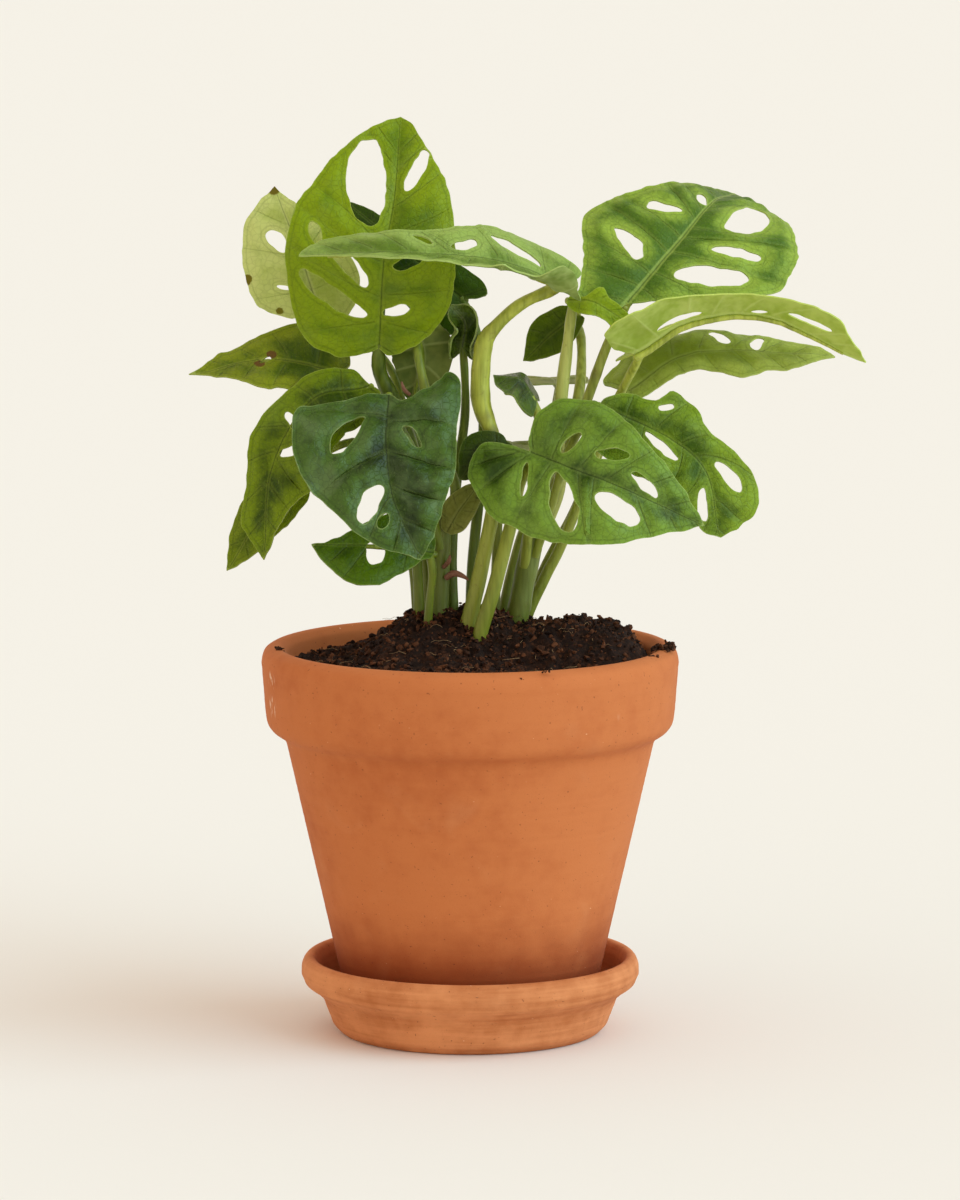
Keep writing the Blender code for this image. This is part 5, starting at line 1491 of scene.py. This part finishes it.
def soil_mound(shape):
    """A fine spun body that fills the pot, its top moved up to the crumbly surface."""
    edge = pot_inner_radius(SOIL_EDGE) - SOIL_WALL_PLAY
    foot = pot_inner_radius(POT_FLOOR) - POT_CORNER[0] - GAP
    rows = [(0, POT_FLOOR + GAP), (foot, POT_FLOOR + GAP), (edge, SOIL_EDGE - 6)]
    rows += [(radius, SOIL_EDGE) for radius in np.linspace(edge, 0, round(edge / SOIL_CELL))]
    spin_profile(shape, rows, SOIL_STEPS, MERGE)
    for vert in shape.verts:
        if vert.co.z > SOIL_EDGE - 1:
            x, y, _ = vert.co
            height = crumbly_height(x, y)
            wall = pot_inner_radius(height) - SOIL_WALL_PLAY
            radius = math.hypot(x, y)
            if radius > wall - 0.5:
                vert.co.x *= wall / radius
                vert.co.y *= wall / radius
            vert.co.z = height


def add_crumb(shape, layer, place, size, rng, shade):
    """One crumb of soil: a dented ball of twenty faces, flattened and turned at random."""
    angle = rng.uniform(0, math.tau)
    axis = Vector((rng.uniform(-1, 1), rng.uniform(-1, 1), 1)).normalized()
    squash = Matrix.Diagonal((*(size * rng.uniform(*shares) for shares in CRUMB_SQUASH), 1))
    placing = Matrix.Translation(place) @ Matrix.Rotation(angle, 4, axis) @ squash
    made = bmesh.ops.create_icosphere(shape, subdivisions=1, radius=1, matrix=placing)["verts"]
    for vert in made:
        vert.co += noise.noise_vector(vert.co * 1.7 / size) * 0.55 * size
        vert[layer] = shade


def add_fibre(shape, layer, place, rng):
    """A thin pale root hair lying on the soil."""
    heading = rng.uniform(0, math.tau)
    length = rng.uniform(2.5, 8)
    sag = rng.uniform(-0.5, 0.5)
    rows = []
    for step in range(6):
        u = step / 5
        angle = heading + sag * 2.5 * u
        rows.append((
            place[0] + length * u * math.cos(angle),
            place[1] + length * u * math.sin(angle),
            place[2] + 0.3 + rng.uniform(0, 1.2) * math.sin(math.pi * u),
            HAIR_RADIUS * (1.1 - 0.6 * u),
        ))
    for ring in extrude_rings(shape, np.array(rows), 3):
        for vert in ring:
            vert[layer] = HAIR_SHADE


def stem_feet():
    """Where each rooted stem leaves the soil, and its radius there."""
    rooted = [leaf.stalk[0] for leaf in LEAVES if not leaf.carrier] + [points[0] for points in CANES.values()]
    return [(x, y, radius) for x, y, _, radius in rooted]


def soil_shape():
    """An empty shape whose points carry a shade, and that layer."""
    shape = bmesh.new()
    return shape, shape.verts.layers.float.new("shade")


def soil_mesh(shape, name):
    """A part of the soil as a mesh in metres."""
    scale_to_metres(shape)
    return mesh_of(shape, name)


def mound_mesh():
    """The soil's body."""
    shape, _ = soil_shape()
    soil_mound(shape)
    return soil_mesh(shape, "mound")


def scattered(reach, rng):
    """A random spot on the soil within the reach."""
    radius = reach * math.sqrt(rng.random())
    angle = rng.uniform(0, math.tau)
    return radius * math.cos(angle), radius * math.sin(angle)


def crumbs_mesh(batch, rng):
    """One batch of crumbs and root hairs, spread over the soil."""
    shape, layer = soil_shape()
    wall = pot_inner_radius(SOIL_EDGE)
    for _ in range(CRUMBS // CRUMB_BATCHES):
        x, y = scattered(wall - 3, rng)
        size = 0.35 + 1.15 * rng.random() ** 3
        place = Vector((x, y, crumbly_height(x, y) + rng.uniform(0, 0.5) * size))
        add_crumb(shape, layer, place, size, rng, rng.random() ** 1.5)
    for _ in range(FIBRES // CRUMB_BATCHES):
        x, y = scattered(wall - 12, rng)
        add_fibre(shape, layer, (x, y, crumbly_height(x, y)), rng)
    return soil_mesh(shape, f"crumbs_{batch}")


def spilt_mesh(rng):
    """Crumbs spilt on the rim and heaped round the feet of the stems."""
    shape, layer = soil_shape()
    for centre, spread, count, size in SPILT:
        for _ in range(count):
            place = Vector([value + rng.gauss(0, 0.45) * reach for value, reach in zip(centre, spread)])
            outside = math.hypot(place.x, place.y) / (POT_RIM_RADIUS - 1.2)
            if outside > 1:
                place.xy = place.xy / outside
            add_crumb(shape, layer, place, size * rng.uniform(0.5, 1.3), rng, rng.random())
    for foot_x, foot_y, radius in stem_feet():
        for _ in range(FOOT_CRUMBS):
            angle = rng.uniform(0, math.tau)
            away = radius + rng.uniform(0.1, 2.4)
            x, y = foot_x + away * math.cos(angle), foot_y + away * math.sin(angle)
            place = Vector((x, y, crumbly_height(x, y) + rng.uniform(-0.2, 1.6)))
            add_crumb(shape, layer, place, rng.uniform(0.5, 1.3), rng, rng.random())
    return soil_mesh(shape, "spilt")


def make_soil():
    """The mound, its crumbs and root hairs and the spilt crumbs, as one piece."""
    rng = random.Random(SOIL_SEED)
    noise.seed_set(SOIL_SEED)
    parts = [mound_mesh()]
    parts += [crumbs_mesh(batch, rng) for batch in range(CRUMB_BATCHES)]
    parts.append(spilt_mesh(rng))
    join_soil(parts)


def join_soil(meshes):
    """One piece from the soil's meshes."""
    whole = bmesh.new()
    for mesh in meshes:
        whole.from_mesh(mesh)
        bpy.data.meshes.remove(mesh)
    piece = smooth_piece(mesh_of(whole, "potting_soil"), "potting_soil", soil_paint(), SOIL_SHARP)
    seat(piece, "soil", "soil")


def make_room():
    """A plain pale floor, one wide soft light from the right front and a warm sky."""
    shape = bmesh.new()
    bmesh.ops.create_grid(shape, x_segments=8, y_segments=8, size=FLOOR_REACH)
    mesh = mesh_of(shape, "floor")
    paint = Paint("pale_floor")
    mesh.materials.append(paint.finish(linear(FLOOR_COLOUR), 0.9, shine=0.1))
    floor = linked("floor", mesh)

    lamp = bpy.data.lights.new("window", "SUN")
    lamp.energy = LIGHT_STRENGTH
    lamp.angle = LIGHT_WIDTH
    lamp.color = LIGHT_COLOUR
    linked("window", lamp).rotation_euler = Vector(LIGHT_FROM).to_track_quat("Z", "Y").to_euler()

    world = bpy.data.worlds.new("sky")
    world.use_nodes = True
    sky = world.node_tree.nodes["Background"]
    sky.inputs["Color"].default_value = (*SKY_COLOUR, 1)
    sky.inputs["Strength"].default_value = SKY_STRENGTH
    bpy.context.scene.world = world
    bpy.context.scene.view_settings.view_transform = "Standard"


def make_camera():
    """The camera at the photograph's viewing angle."""
    lens = bpy.data.cameras.new("camera")
    lens.lens = CAMERA_LENS
    lens.sensor_width = CAMERA_SENSOR
    lens.clip_end = CAMERA_REACH
    camera = linked("camera", lens)
    camera.location = CAMERA_PLACE
    camera.rotation_euler = (math.pi / 2 - CAMERA_PITCH, 0, 0)
    bpy.context.scene.camera = camera


make_camera()
make_room()
make_saucer()
make_pot()
make_soil()
make_stems()
for leaf in (*LEAVES, SHEATH):
    make_blade(leaf)
